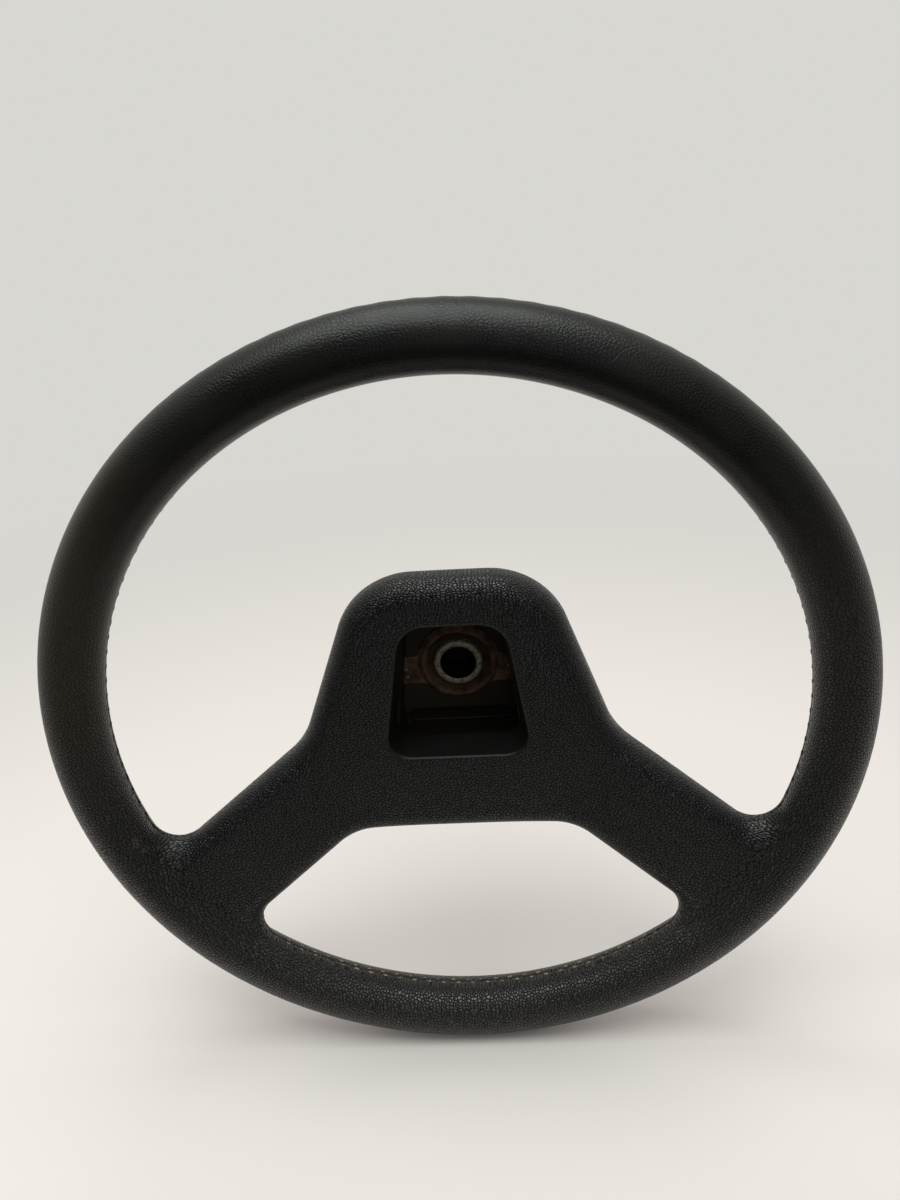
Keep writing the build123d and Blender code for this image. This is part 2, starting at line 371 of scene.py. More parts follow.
class StageSettings(bpy.types.PropertyGroup):
    """Camera, floor and lamps."""

    camera_place: Place(
        name="Camera Place",
        description="Place of the camera",
        default=(19.19 * MM, -432.73 * MM, 235.54 * MM),
    )
    camera_turn: FloatVectorProperty(
        name="Camera Turn",
        description="Turn of the camera",
        default=(math.radians(65.23), math.radians(3.446), math.radians(1.23)),
        subtype="EULER",
    )
    focal_length: FloatProperty(
        name="Focal Length",
        description="Focal length in millimetres for a 36 mm long image side",
        default=28.5,
    )
    floor_radius: Length(name="Floor Radius", description="Radius of the floor", default=1.1)
    floor_colour: Colour(
        name="Floor Colour", description="Pale floor", default=linear("#e6dedc")
    )
    backdrop_colour: Colour(
        name="Backdrop Colour", description="Pale surroundings", default=linear("#d8d7d2")
    )
    front_share: FloatProperty(
        name="Front Share",
        description="Brightness of the low surroundings on the driver's side against the far side",
        default=0.08,
    )
    ceiling_share: FloatProperty(
        name="Ceiling Share",
        description="Brightness of the ceiling on the driver's side against the far side",
        default=0.85,
    )
    lamp_colour: Colour(
        name="Lamp Colour", description="Colour of the lamp overhead", default=(0.92, 1.0, 0.95)
    )
    lamp_power: FloatProperty(
        name="Lamp Power", description="Power of the lamp overhead in watts", default=11.0
    )
    lamp_place: Place(
        name="Lamp Place", description="Place of the lamp overhead", default=(-0.05, -0.18, 1.0)
    )
    lamp_size: Length(name="Lamp Size", description="Side of the lamp overhead", default=0.95)
    side_power: FloatProperty(
        name="Side Fill Power",
        description="Power of the lamp to the right of the camera in watts",
        default=0.8,
    )
    side_place: Place(
        name="Side Fill Place",
        description="Place of the lamp to the right of the camera",
        default=(0.3, -0.95, 0.62),
    )
    side_size: Length(
        name="Side Fill Size",
        description="Side of the lamp to the right of the camera",
        default=0.6,
    )
    low_power: FloatProperty(
        name="Low Fill Power",
        description="Power of the lamp below the camera in watts",
        default=0.4,
    )
    low_place: Place(
        name="Low Fill Place",
        description="Place of the lamp below the camera",
        default=(0.15, -1.2, 0.05),
    )
    low_size: Length(
        name="Low Fill Size", description="Side of the lamp below the camera", default=0.5
    )


def rounded_corner(a, b, radius, cosine=0.0):
    """Distance to the solid inside two walls whose shared edge is rounded.

    a and b are the distances to the walls, cosine that of the angle between their normals.
    """
    u = a + radius
    v = b + radius
    square = (u * u + v * v - 2 * u * v * cosine) / (1 - cosine * cosine)
    on_round = (u > v * cosine) & (v > u * cosine)
    return np.where(on_round, np.sqrt(np.maximum(square, 0)) - radius, np.maximum(a, b))


def rounded_valley(a, b, radius, cosine=0.0):
    """Distance to two solids joined by a hollow blend of a radius."""
    return -rounded_corner(-a, -b, radius, cosine)


def trapezoid(x, z, top, bottom, top_half, bottom_half, top_round, bottom_round):
    """Distance to a rounded trapezoid, where x is the distance from its middle line."""
    run = (bottom_half - top_half) / (top + bottom)
    unit = 1 / np.sqrt(1 + run * run)
    side = (x - top_half - run * (top - z)) * unit
    upper = rounded_corner(z - top, side, top_round, run * unit)
    lower = rounded_corner(-bottom - z, side, bottom_round, -run * unit)
    return np.maximum(upper, lower)


def section_angle(x, y, z):
    """Angle round the rim section, from its innermost line towards the rear."""
    return np.arctan2(y - RIM_PLANE, RIM_RADIUS - np.hypot(x, z))


def rim_distance(x, y, z, rim):
    """Distance to the round rim with the groove of its seam."""
    across = RIM_HALF * (section_angle(x, y, z) - rim.seam_angle)
    groove = rim.seam_depth * np.exp(-((2 * across / rim.seam_width) ** 2))
    return np.hypot(np.hypot(x, z) - RIM_RADIUS, y - RIM_PLANE) - RIM_HALF + groove


def web_outline(x, z):
    """Distance to the outline of pad and spokes as the driver sees it."""
    side = (x - PAD_HALF_WIDTH + z * math.tan(PAD_SIDE_LEAN)) * math.cos(PAD_SIDE_LEAN)
    crown = rounded_corner(z - PAD_TOP, side, PAD_CORNER, math.sin(PAD_SIDE_LEAN))
    shoulder = z - SPOKE_TOP_HEIGHT + x * math.tan(SPOKE_TOP_SLOPE)
    shoulder = shoulder * math.cos(SPOKE_TOP_SLOPE)
    upper = rounded_valley(crown, shoulder, WAIST_ROUND, math.sin(PAD_SIDE_LEAN + SPOKE_TOP_SLOPE))
    under = SPOKE_UNDER_HEIGHT - x * math.tan(SPOKE_UNDER_SLOPE) - z
    under = under * math.cos(SPOKE_UNDER_SLOPE)
    lower = rounded_valley(-PAD_BOTTOM - z, under, UNDER_ROUND, math.cos(SPOKE_UNDER_SLOPE))
    return np.maximum(upper, lower)


def dished_face(x, y, z, flat, end):
    """Distance behind a face that is flat on the pad and leans forward to its end at the rim."""
    out = np.hypot(x, z) - PAD_FLAT_RADIUS
    run = RIM_RADIUS - PAD_FLAT_RADIUS
    rise = end - flat
    length = math.hypot(run, rise)
    lean = ((y - flat) * run - out * rise) / length
    return rounded_corner(y - flat, lean, DISH_BLEND, run / length)


def web_front(x, y, z):
    """Distance in front of the web."""
    return -dished_face(x, y, z, PAD_FACE, SPOKE_END_FACE)


def web_rear(x, y, z):
    """Distance behind the web."""
    return dished_face(x, y, z, PAD_BACK, SPOKE_END_FACE + SPOKE_END_THICKNESS)


def web_distance(x, y, z):
    """Distance to the web of pad and spokes."""
    outline = web_outline(x, z)
    slab = np.maximum(
        rounded_corner(outline, web_front(x, y, z), FRONT_ROUND),
        rounded_corner(outline, web_rear(x, y, z), REAR_ROUND),
    )
    return rounded_corner(slab, np.hypot(x, z) - RIM_RADIUS, WEB_END_ROUND)


def housing_distance(x, y, z):
    """Distance to the tapered housing behind the pad and its collar."""
    share = (y - HOUSING_ROOT) / (HOUSING_END - HOUSING_ROOT)
    sizes = [
        root + (end - root) * share
        for root, end in (HOUSING_TOP, HOUSING_BOTTOM, HOUSING_TOP_HALF, HOUSING_BOTTOM_HALF)
    ]
    walls = trapezoid(x, z, *sizes, HOUSING_CORNER, HOUSING_CORNER) * math.cos(HOUSING_DRAFT)
    box = rounded_corner(walls, y - HOUSING_END, HOUSING_END_ROUND, math.sin(HOUSING_DRAFT))
    box = np.maximum(box, HOUSING_ROOT - y)
    collar = rounded_corner(np.hypot(x, z) - COLLAR_RADIUS, y - COLLAR_END, COLLAR_ROUND)
    collar = np.maximum(collar, -y)
    return rounded_valley(box, collar, COLLAR_ROUND / 2)


def hollow_distance(x, y, z):
    """Distance to the hollow: window, chamber, clip slot, bush hole and collar recess."""
    mouth = trapezoid(
        x, z, WINDOW_TOP, WINDOW_BOTTOM, WINDOW_TOP_HALF, WINDOW_BOTTOM_HALF,
        WINDOW_TOP_ROUND, WINDOW_BOTTOM_ROUND,
    )
    wall = (mouth + (y - PAD_FACE) * math.tan(WINDOW_DRAFT)) * math.cos(WINDOW_DRAFT)
    window = np.maximum(wall, y - CHAMBER_FRONT - FLOOR_EDGE)
    share = (y - CHAMBER_FRONT) / (CHAMBER_FLOOR - CHAMBER_FRONT)
    mouth_top = WINDOW_TOP - (CHAMBER_FRONT - PAD_FACE) * math.tan(WINDOW_DRAFT)
    room_top = mouth_top + (FLOOR_TOP - mouth_top) * share
    room_top_half = WINDOW_TOP_HALF + (FLOOR_TOP_HALF - WINDOW_TOP_HALF) * share
    room = trapezoid(
        x, z, room_top, CHAMBER_BOTTOM, room_top_half, CHAMBER_BOTTOM_HALF,
        WINDOW_TOP_ROUND, CHAMBER_CORNER,
    )
    chamber = rounded_corner(room, y - CHAMBER_FLOOR, FLOOR_EDGE)
    chamber = np.maximum(chamber, CHAMBER_FRONT - y)
    slot = trapezoid(
        x, z, SLOT_TOP, CHAMBER_BOTTOM, SLOT_HALF_WIDTH, SLOT_HALF_WIDTH, SLOT_CORNER, SLOT_CORNER
    )
    slot = rounded_corner(slot, y - CHAMBER_FLOOR - SLOT_DEPTH, SLOT_EDGE)
    slot = np.maximum(slot, CHAMBER_FLOOR - SLOT_DEPTH - y)
    hollow = rounded_valley(rounded_valley(window, chamber, WINDOW_EDGE), slot, SLOT_EDGE)
    out = np.hypot(x, z)
    hole = np.maximum(out - BUSH_RADIUS, CHAMBER_FLOOR - BUSH_RADIUS - y)
    dish = np.maximum(out - CREST_RADIUS, np.abs(y - DISH_FRONT) - PLATE_THICKNESS / 2)
    recess = rounded_corner(out - RECESS_RADIUS, RECESS_FLOOR - y, SLOT_EDGE)
    return np.minimum(np.minimum(hollow, dish), np.minimum(hole, recess))


def moulding_distance(points, rim, crease=MEAN_CREASE):
    """Distance to the skin of the foam moulding: rim, web and housing in one, hollowed.

    crease is the cosine of the angle between the faces of rim and web, one for each point.
    """
    x = np.abs(points[..., 0])
    y = points[..., 1]
    z = points[..., 2]
    joined = rounded_valley(rim_distance(x, y, z, rim), web_distance(x, y, z), RIM_BLEND, crease)
    joined = rounded_valley(
        joined, housing_distance(x, y, z), HOUSING_ROOT_BLEND, math.sin(HOUSING_DRAFT)
    )
    return rounded_corner(joined, -hollow_distance(x, y, z), WINDOW_EDGE)


def plate_distance(points):
    """Distance to the pressed hub plate: a dish with a round crest and a wing each side."""
    x = np.abs(points[..., 0])
    y = points[..., 1]
    z = points[..., 2]
    out = np.hypot(x, z)
    rise = np.clip((out - DISH_FLOOR_RADIUS) / (CREST_RADIUS - DISH_FLOOR_RADIUS), 0, 1)
    fall = np.clip((out - CREST_RADIUS) / (BRIM_RADIUS - CREST_RADIUS), 0, 1)
    front = DISH_FRONT + (CREST_FRONT - DISH_FRONT) * (1 - np.cos(math.pi * rise)) / 2
    front = front + (WING_FRONT - CREST_FRONT) * (1 - np.cos(math.pi * fall)) / 2
    sheet = np.maximum(front - y, y - front - PLATE_THICKNESS)
    wings = trapezoid(
        x, z, WING_TOP, WING_BOTTOM, WING_HALF_SPAN, WING_HALF_SPAN, WING_CORNER, WING_CORNER
    )
    outline = rounded_valley(out - BRIM_RADIUS, wings, WING_FILLET)
    return rounded_corner(np.maximum(outline, BUSH_RADIUS - out), sheet, PLATE_EDGE)


def crease_cosine(points, rim):
    """Cosine of the angle between the faces of rim and web at points."""

    def rim_only(p):
        return rim_distance(np.abs(p[:, 0]), p[:, 1], p[:, 2], rim)

    def web_only(p):
        return web_distance(np.abs(p[:, 0]), p[:, 1], p[:, 2])

    rim_slope = slope(rim_only, points)
    web_slope = slope(web_only, points)
    length = np.linalg.norm(rim_slope, axis=1) * np.linalg.norm(web_slope, axis=1) + 1e-9
    return np.clip((rim_slope * web_slope).sum(axis=1) / length, *CREASE_BOUNDS)


def slope(distance, points):
    """Gradient of a distance rule at points, from four probes round each."""
    reach = 0.02 * MM
    probes = np.array([(1, -1, -1), (-1, -1, 1), (-1, 1, -1), (1, 1, 1)])
    total = sum(probe * distance(points + reach * probe)[:, None] for probe in probes)
    return total / (4 * reach)


def settle(rule_near, points, rounds=3):
    """Move points along the gradient onto the zero surface of the rule that holds near them."""
    furthest = 2 * MM
    least_steep = 0.1
    for _ in range(rounds):
        distance = rule_near(points)
        gradient = slope(distance, points)
        steepness = np.maximum((gradient**2).sum(axis=1), least_steep)
        step = np.clip(distance(points) / steepness, -furthest, furthest)
        points = points - gradient * step[:, None]
    return points


def surface_net(distance, low, high, step):
    """Return points and outward quads near the zero surface of a distance rule in a box."""
    axes = [np.arange(start, end + step, step) for start, end in zip(low, high)]
    inside = distance(np.stack(np.meshgrid(*axes, indexing="ij"), axis=-1)) < 0
    count = np.zeros([n - 1 for n in inside.shape], int)
    for i, j, k in np.ndindex(2, 2, 2):
        count += inside[i : i + count.shape[0], j : j + count.shape[1], k : k + count.shape[2]]
    mixed = (count > 0) & (count < 8)
    index = np.full(mixed.shape, -1)
    index[mixed] = np.arange(mixed.sum())
    points = np.array(low) + (np.argwhere(mixed) + 0.5) * step
    quads = []
    for axis in range(3):
        order = (axis, (axis + 1) % 3, (axis + 2) % 3)
        cell = np.transpose(index, order)
        solid = np.transpose(inside, order)
        i, j, k = np.nonzero(solid[:-1, 1:-1, 1:-1] != solid[1:, 1:-1, 1:-1])
        ring = [cell[i, j, k], cell[i, j + 1, k], cell[i, j + 1, k + 1], cell[i, j, k + 1]]
        quad = np.stack(ring, axis=1)
        inward = ~solid[i, j + 1, k + 1]
        quad[inward] = quad[inward, ::-1]
        quads.append(quad)
    return points, np.concatenate(quads)


def relax(points, quads):
    """Move each point to the middle of its neighbours."""
    start = quads.ravel()
    end = np.roll(quads, -1, axis=1).ravel()
    count = np.bincount(start, minlength=len(points))
    total = [np.bincount(start, points[end, axis], len(points)) for axis in range(3)]
    return np.stack(total, axis=1) / count[:, None]


def mesh_data(items, name, size, kind=float):
    """Return one kind of data of all the points, loops or faces of a mesh as an array."""
    flat = np.empty(size * len(items), kind)
    items.foreach_get(name, flat)
    return flat.reshape(-1, size) if size > 1 else flat


def refine(mesh, rule_near, marked=None):
    """Halve the edges along which the surface turns far, or which are marked."""
    points = mesh_data(mesh.vertices, "co", 3)
    normals = slope(rule_near(points), points)
    normals /= np.linalg.norm(normals, axis=1)[:, None] + 1e-9
    edit = bmesh.new()
    edit.from_mesh(mesh)
    ends = np.array([(edge.verts[0].index, edge.verts[1].index) for edge in edit.edges])
    chosen = (normals[ends[:, 0]] * normals[ends[:, 1]]).sum(axis=1) < math.cos(EDGE_TURN)
    if marked is not None:
        mask = marked(points)
        chosen |= mask[ends[:, 0]] & mask[ends[:, 1]]
    edges = [edge for edge, take in zip(edit.edges, chosen) if take]
    bmesh.ops.subdivide_edges(edit, edges=edges, cuts=1, use_grid_fill=True)
    edit.to_mesh(mesh)
    edit.free()
    points = settle(rule_near, mesh_data(mesh.vertices, "co", 3))
    mesh.vertices.foreach_set("co", points.ravel())
    mesh.update()


def new_object(name, data):
    """Put a mesh, lamp or camera into the scene as an object."""
    piece = bpy.data.objects.new(name, data)
    bpy.context.scene.collection.objects.link(piece)
    return piece


def grown_mesh(name, distance, rule_near, low, high, step):
    """Return an even, smooth-shaded mesh of the zero surface of a distance rule."""
    margin = 2 * step
    box = [corner - margin for corner in low], [corner + margin for corner in high]
    points, quads = surface_net(distance, *box, step)
    evening_rounds = 4
    for _ in range(evening_rounds):
        points = settle(rule_near, relax(points, quads), rounds=1)
    mesh = bpy.data.meshes.new(name)
    mesh.from_pydata(settle(rule_near, points).tolist(), [], quads.tolist())
    mesh.shade_smooth()
    return mesh


def set_attribute(mesh, name, values):
    """Store one number for each point of a mesh."""
    attribute = mesh.attributes.new(name, "FLOAT", "POINT")
    attribute.data.foreach_set("value", values.astype(np.float32))


def seat(piece, slot, *nodes):
    """Fix a finished piece to the wheel and hide the solids it stands for. slot is not used."""
    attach(piece, "root")
    if nodes:
        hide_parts(*nodes)


def feed(made, inputs):
    """Set or link inputs of a node. A colour of three channels is made opaque."""
    for key, value in inputs.items():
        socket = made.inputs[key]
        if isinstance(value, bpy.types.NodeSocket):
            made.id_data.links.new(value, socket)
        else:
            socket.default_value = (*value, 1) if socket.type == "RGBA" else value


def node(tree, kind, inputs=None, out=None, **settings):
    """Add a node with its settings and inputs, and return one of its outputs.

    That is the output named, or else the first one that the settings leave in use.
    """
    made = tree.nodes.new(kind)
    for name, value in settings.items():
        setattr(made, name, value)
    feed(made, inputs or {})
    if out:
        return made.outputs[out]
    return next((socket for socket in made.outputs if socket.enabled), None)


SMOOTH = {"interpolation_type": "SMOOTHSTEP"}


def new_tree(name, inputs):
    """Return a Geometry Nodes tree with named inputs, a way to add nodes, and the inputs."""
    tree = bpy.data.node_groups.new(name, "GeometryNodeTree")
    tree.interface.new_socket("Geometry", in_out="OUTPUT", socket_type="NodeSocketGeometry")
    for label, kind in {"Geometry": "Geometry", **inputs, "Material": "Material"}.items():
        tree.interface.new_socket(label, in_out="INPUT", socket_type=f"NodeSocket{kind}")
    return tree, partial(node, tree), tree.nodes.new("NodeGroupInput").outputs


def close_tree(add, given, geometry):
    """End a tree in realized instances with its material."""
    real = add("GeometryNodeRealizeInstances", {"Geometry": geometry})
    painted = add("GeometryNodeSetMaterial", {"Geometry": real, "Material": given["Material"]})
    add("NodeGroupOutput", {"Geometry": painted})


def apply_tree(piece, tree, values):
    """Run a Geometry Nodes tree on an object and keep its result as a plain mesh."""
    modifier = piece.modifiers.new(tree.name, "NODES")
    modifier.node_group = tree
    for item in tree.interface.items_tree:
        if item.item_type == "SOCKET" and item.in_out == "INPUT" and item.name in values:
            modifier[item.identifier] = values[item.name]
    depsgraph = bpy.context.evaluated_depsgraph_get()
    result = bpy.data.meshes.new_from_object(
        piece.evaluated_get(depsgraph), preserve_all_data_layers=True, depsgraph=depsgraph
    )
    piece.modifiers.remove(modifier)
    result.name = piece.name
    piece.data = result


def new_material(name):
    """Return a material, a way to add nodes, its shader and its Object coordinates."""
    material = bpy.data.materials.new(name)
    material.use_nodes = True
    tree = material.node_tree
    tree.nodes.clear()
    add = partial(node, tree)
    surface = add("ShaderNodeBsdfPrincipled")
    add("ShaderNodeOutputMaterial", {"Surface": surface})
    return material, add, surface.node, add("ShaderNodeTexCoord", out="Object")


def cut_mask(add, place):
    """Return a value that is 1 along the knife cut in the skin and 0 elsewhere."""
    run = CUT_END - CUT_START
    share = run / run.length_squared
    start = add("ShaderNodeVectorMath", {0: place, 1: CUT_START}, operation="SUBTRACT")
    along = add("ShaderNodeVectorMath", {0: start, 1: share}, operation="DOT_PRODUCT")
    kept = add("ShaderNodeClamp", {"Value": along})
    nearest = add("ShaderNodeVectorMath", {0: run, "Scale": kept}, operation="SCALE")
    aside = add("ShaderNodeVectorMath", {0: start, 1: nearest}, operation="SUBTRACT")
    away = add("ShaderNodeVectorMath", {0: aside}, operation="LENGTH")
    edge = {"From Min": 0.5 * CUT_HALF_WIDTH, "From Max": 1.5 * CUT_HALF_WIDTH}
    return add("ShaderNodeMapRange", {"Value": away, **edge, "To Min": 1.0, "To Max": 0.0}, **SMOOTH)


def pebble_grain(add, skin, place, on_rim):
    """Return the height of the grain, 0 in the creases and 1 on top of the pebbles."""
    noise = {"Vector": place, "Scale": 0.4 / skin.grain_size, "Detail": 2.0}
    warp = add("ShaderNodeTexNoise", noise, out="Color")
    shift = add("ShaderNodeVectorMath", {0: warp, 1: (0.5, 0.5, 0.5)}, operation="SUBTRACT")
    bend = (0.8 * skin.grain_size,) * 3
    edges = []
    for unrolled in GRAIN_MAPS:
        flat = add("ShaderNodeUVMap", uv_map=unrolled)
        bent = add("ShaderNodeVectorMath", {0: shift, 1: bend, 2: flat}, operation="MULTIPLY_ADD")
        cells = add(
            "ShaderNodeTexVoronoi",
            {"Vector": bent, "Scale": 1 / skin.grain_size},
            voronoi_dimensions="2D",
            feature="DISTANCE_TO_EDGE",
        )
        edges.append(cells)
    edge = add("ShaderNodeMix", {"Factor": on_rim, 2: edges[0], 3: edges[1]}, data_type="FLOAT")
    return add("ShaderNodeMapRange", {"Value": edge, "From Min": 0.02, "From Max": 0.3}, **SMOOTH)


def foam_skin_material(skin):
    """Integral-skin polyurethane foam, moulded black in a tool with a pebble grain.

    A very dark surface with fine round pebbles that glint; hands have worn it smooth on the
    upper rim, and pale dust lies in the seam and in scuffs. Inside the pad a pale film is dirt
    that also paints light into the shaded chamber, and painted shade darkens the creases.
    """
    material, add, shader, place = new_material("black_polyurethane_skin")
    wear, dust, film, on_rim, grained = (
        add("ShaderNodeAttribute", out="Fac", attribute_name=name)
        for name in ("wear", "dust", "film", "on_rim", "grained")
    )
    pebble = pebble_grain(add, skin, place, on_rim)
    cut = cut_mask(add, place)
    fine = add("ShaderNodeTexNoise", {"Vector": place, "Scale": 3 / skin.grain_size, "Detail": 3.0})
    patches = add("ShaderNodeTexNoise", {"Vector": place, "Scale": 1 / (16 * MM), "Detail": 6.0})
    speckle = add("ShaderNodeTexNoise", {"Vector": place, "Scale": 1 / (1.4 * MM), "Detail": 2.0})

    # Height: pebbles, less where worn and none inside the pad, a fine tooth and the cut
    spared = add(
        "ShaderNodeMapRange",
        {"Value": patches, "From Min": 0.4, "From Max": 0.65, "To Min": 0.4, "To Max": 0.15},
    )
    unworn = add("ShaderNodeMapRange", {"Value": wear, "To Min": 1.0, "To Max": spared})
    kept = add("ShaderNodeMath", {0: unworn, 1: grained}, operation="MULTIPLY")
    relief = add("ShaderNodeMath", {0: pebble, 1: kept}, operation="MULTIPLY")
    grain = add("ShaderNodeMath", {0: fine, 1: 0.3, 2: relief}, operation="MULTIPLY_ADD")
    height = add("ShaderNodeMath", {0: cut, 1: -1.4, 2: grain}, operation="MULTIPLY_ADD")
    bump = add("ShaderNodeBump", {"Distance": skin.grain_depth, "Height": height})
    valley = add("ShaderNodeMath", {0: 1.0, 1: pebble}, operation="SUBTRACT")
    crease = add("ShaderNodeMath", {0: valley, 1: kept}, operation="MULTIPLY")
    sunk = add("ShaderNodeMath", {0: crease, 1: cut}, operation="MAXIMUM")

    # Colour: rubbed paler in patches and dusted; darker in the creases and the cut, which is painted
    # shade
    rubbed = add("ShaderNodeMath", {0: wear, 1: patches}, operation="MULTIPLY")
    colours = {6: skin.skin_colour, 7: skin.worn_colour}
    body = add("ShaderNodeMix", {"Factor": rubbed, **colours}, data_type="RGBA")
    broken = add(
        "ShaderNodeMapRange", {"Value": speckle, "From Min": 0.36, "From Max": 0.62}, **SMOOTH
    )
    dusty = add("ShaderNodeMath", {0: broken, 1: dust}, operation="MULTIPLY")
    # Inside the pad the pale film is dirt that also paints light into the shaded chamber
    filmed = add("ShaderNodeMath", {0: dusty, 1: film}, operation="MAXIMUM")
    colours = {6: body, 7: skin.dust_colour}
    coat = add("ShaderNodeMix", {"Factor": filmed, **colours}, data_type="RGBA")
    # Painted shade: the base colour is darkened down to half in the creases and the knife cut, where
    # shade would fall
    shade = add("ShaderNodeMapRange", {"Value": sunk, "To Min": 1.0, "To Max": 0.5})
    shaded = add("ShaderNodeVectorMath", {0: coat, "Scale": shade}, operation="SCALE")

    # Roughness: mottled, and more in the creases and inside the pad
    gloss = add("ShaderNodeMapRange", {"Value": wear, "To Min": 0.22, "To Max": 0.24})
    mottled = add("ShaderNodeMath", {0: patches, 1: 0.14, 2: gloss}, operation="MULTIPLY_ADD")
    matt = add("ShaderNodeMapRange", {"Value": grained, "To Min": 1.0, "To Max": sunk})
    rough = add("ShaderNodeMath", {0: matt, 1: 0.15, 2: mottled}, operation="MULTIPLY_ADD")

    # Shine: less where worn, inside the pad, in the creases and under dirt
    worn = add("ShaderNodeMapRange", {"Value": wear, "To Min": 0.75, "To Max": 0.27})
    shown = add("ShaderNodeMapRange", {"Value": grained, "To Min": 0.3, "To Max": worn})
    sheen = add("ShaderNodeMapRange", {"Value": sunk, "To Min": shown, "To Max": 0.15})
    dulled = add(
        "ShaderNodeMapRange",
        {"Value": film, "From Max": DULL_FILM, "To Min": sheen, "To Max": 0.15},
    )
    feed(shader, {"Base Color": shaded, "Roughness": rough, "Normal": bump, "IOR": 1.5})
    feed(shader, {"Specular IOR Level": dulled})
    return material


def stitch_material(skin):
    """The same foam skin on the small moulded stitches, which hold tan dust at the bottom."""
    material, add, shader, place = new_material("dusty_polyurethane_stitch")
    height = add("ShaderNodeSeparateXYZ", {"Vector": place}, out="Z")
    start, full = STITCH_DUST_HEIGHTS
    low = add(
        "ShaderNodeMapRange", {"Value": height, "From Min": start, "From Max": full}, **SMOOTH
    )
    speckle = add("ShaderNodeTexNoise", {"Vector": place, "Scale": 1 / (5 * MM), "Detail": 3.0})
    amount = add("ShaderNodeMapRange", {"Value": speckle, "From Min": 0.3, "From Max": 0.5})
    dusty = add("ShaderNodeMath", {0: amount, 1: low}, operation="MULTIPLY")
    colours = {6: skin.worn_colour, 7: skin.stitch_colour}
    coat = add("ShaderNodeMix", {"Factor": dusty, **colours}, data_type="RGBA")
    feed(shader, {"Base Color": coat, "Roughness": 0.6, "Specular IOR Level": 0.25})
    return material


def rusty_steel_material(hub):
    """Mild steel sheet, pressed and left bare: rust in dark and bright patches, pitted.

    Matt and crusty, with small rubbed spots where bare metal shows, and darker on the floor of the
    dish round the bush.
    """
    material, add, shader, place = new_material("rusty_pressed_steel")
    bare, dish_darkening = (
        add("ShaderNodeAttribute", out="Fac", attribute_name=name) for name in ("bare", "dish_darkening")
    )
    patches = add("ShaderNodeTexNoise", {"Vector": place, "Scale": 1 / (6 * MM), "Detail": 6.0})
    contrast = add("ShaderNodeMapRange", {"Value": patches, "From Min": 0.38, "From Max": 0.66})
    colours = {6: hub.rust_dark, 7: hub.rust_bright}
    rust = add("ShaderNodeMix", {"Factor": contrast, **colours}, data_type="RGBA")
    cells = {"Vector": place, "Scale": 1 / (0.9 * MM)}
    pits = add("ShaderNodeTexVoronoi", cells, feature="SMOOTH_F1")
    grit = add("ShaderNodeTexNoise", {"Vector": place, "Scale": 1 / (0.5 * MM), "Detail": 4.0})
    crust = add("ShaderNodeMath", {0: grit, 1: pits}, operation="ADD")
    bump = add("ShaderNodeBump", {"Strength": 0.8, "Distance": 0.25 * MM, "Height": crust})
    edge = add("ShaderNodeMath", {0: bare, 1: grit, 2: 0.12}, operation="MULTIPLY_ADD")
    metal = add("ShaderNodeMapRange", {"Value": edge, "From Min": 0.36, "From Max": 0.52}, **SMOOTH)
    colours = {6: rust, 7: hub.steel_colour}
    scraped = add("ShaderNodeMix", {"Factor": metal, **colours}, data_type="RGBA")
    # Darker on the floor of the dish round the bush
    colours = {6: scraped, 7: hub.bore_and_dish_dark_colour}
    coat = add("ShaderNodeMix", {"Factor": dish_darkening, **colours}, data_type="RGBA")
    rough = add("ShaderNodeMapRange", {"Value": metal, "To Min": 0.82, "To Max": 0.4})
    feed(shader, {"Base Color": coat, "Metallic": metal, "Roughness": rough, "Normal": bump})
    return material


def turned_steel_material(hub):
    """Free-cutting steel, turned on a lathe: bright, with rings and specks of rust.

    The rings are drawn coarser than real lathe marks, so that they show.
    """
    material, add, shader, place = new_material("turned_bare_steel")
    rings = add(
        "ShaderNodeTexWave",
        {"Vector": place, "Scale": 1 / (6 * MM), "Distortion": 1.5, "Detail": 2.0},
        out="Fac",
        wave_type="RINGS",
        rings_direction="Y",
    )
    specks = add("ShaderNodeTexNoise", {"Vector": place, "Scale": 1 / (2.2 * MM), "Detail": 5.0})
    stain = add("ShaderNodeMapRange", {"Value": specks, "From Min": 0.48, "From Max": 0.7})
    colours = {6: hub.steel_colour, 7: hub.rust_dark}
    coat = add("ShaderNodeMix", {"Factor": stain, **colours}, data_type="RGBA")
    metal = add("ShaderNodeMapRange", {"Value": stain, "To Min": 0.7, "To Max": 0.2})
    rough = add("ShaderNodeMapRange", {"Value": specks, "To Min": 0.4, "To Max": 0.7})
    bump = add("ShaderNodeBump", {"Strength": 0.25, "Distance": 0.05 * MM, "Height": rings})
    feed(shader, {"Base Color": coat, "Metallic": metal, "Roughness": rough, "Normal": bump})
    return material


def bore_grease_and_shade_material(hub):
    """Broached steel of the spline, black with old grease and darkened as painted shade in the bore,
    with a dull wet shine.
    """
    material, add, shader, place = new_material("greasy_broached_steel_and_painted_shade")
    film = add("ShaderNodeTexNoise", {"Vector": place, "Scale": 1 / (3 * MM), "Detail": 3.0})
    colours = {6: hub.bore_and_dish_dark_colour, 7: hub.thin_grease_and_shade_colour}
    coat = add("ShaderNodeMix", {"Factor": film, **colours}, data_type="RGBA")
    feed(shader, {"Base Color": coat, "Metallic": 0.3, "Roughness": 0.5})
    return material


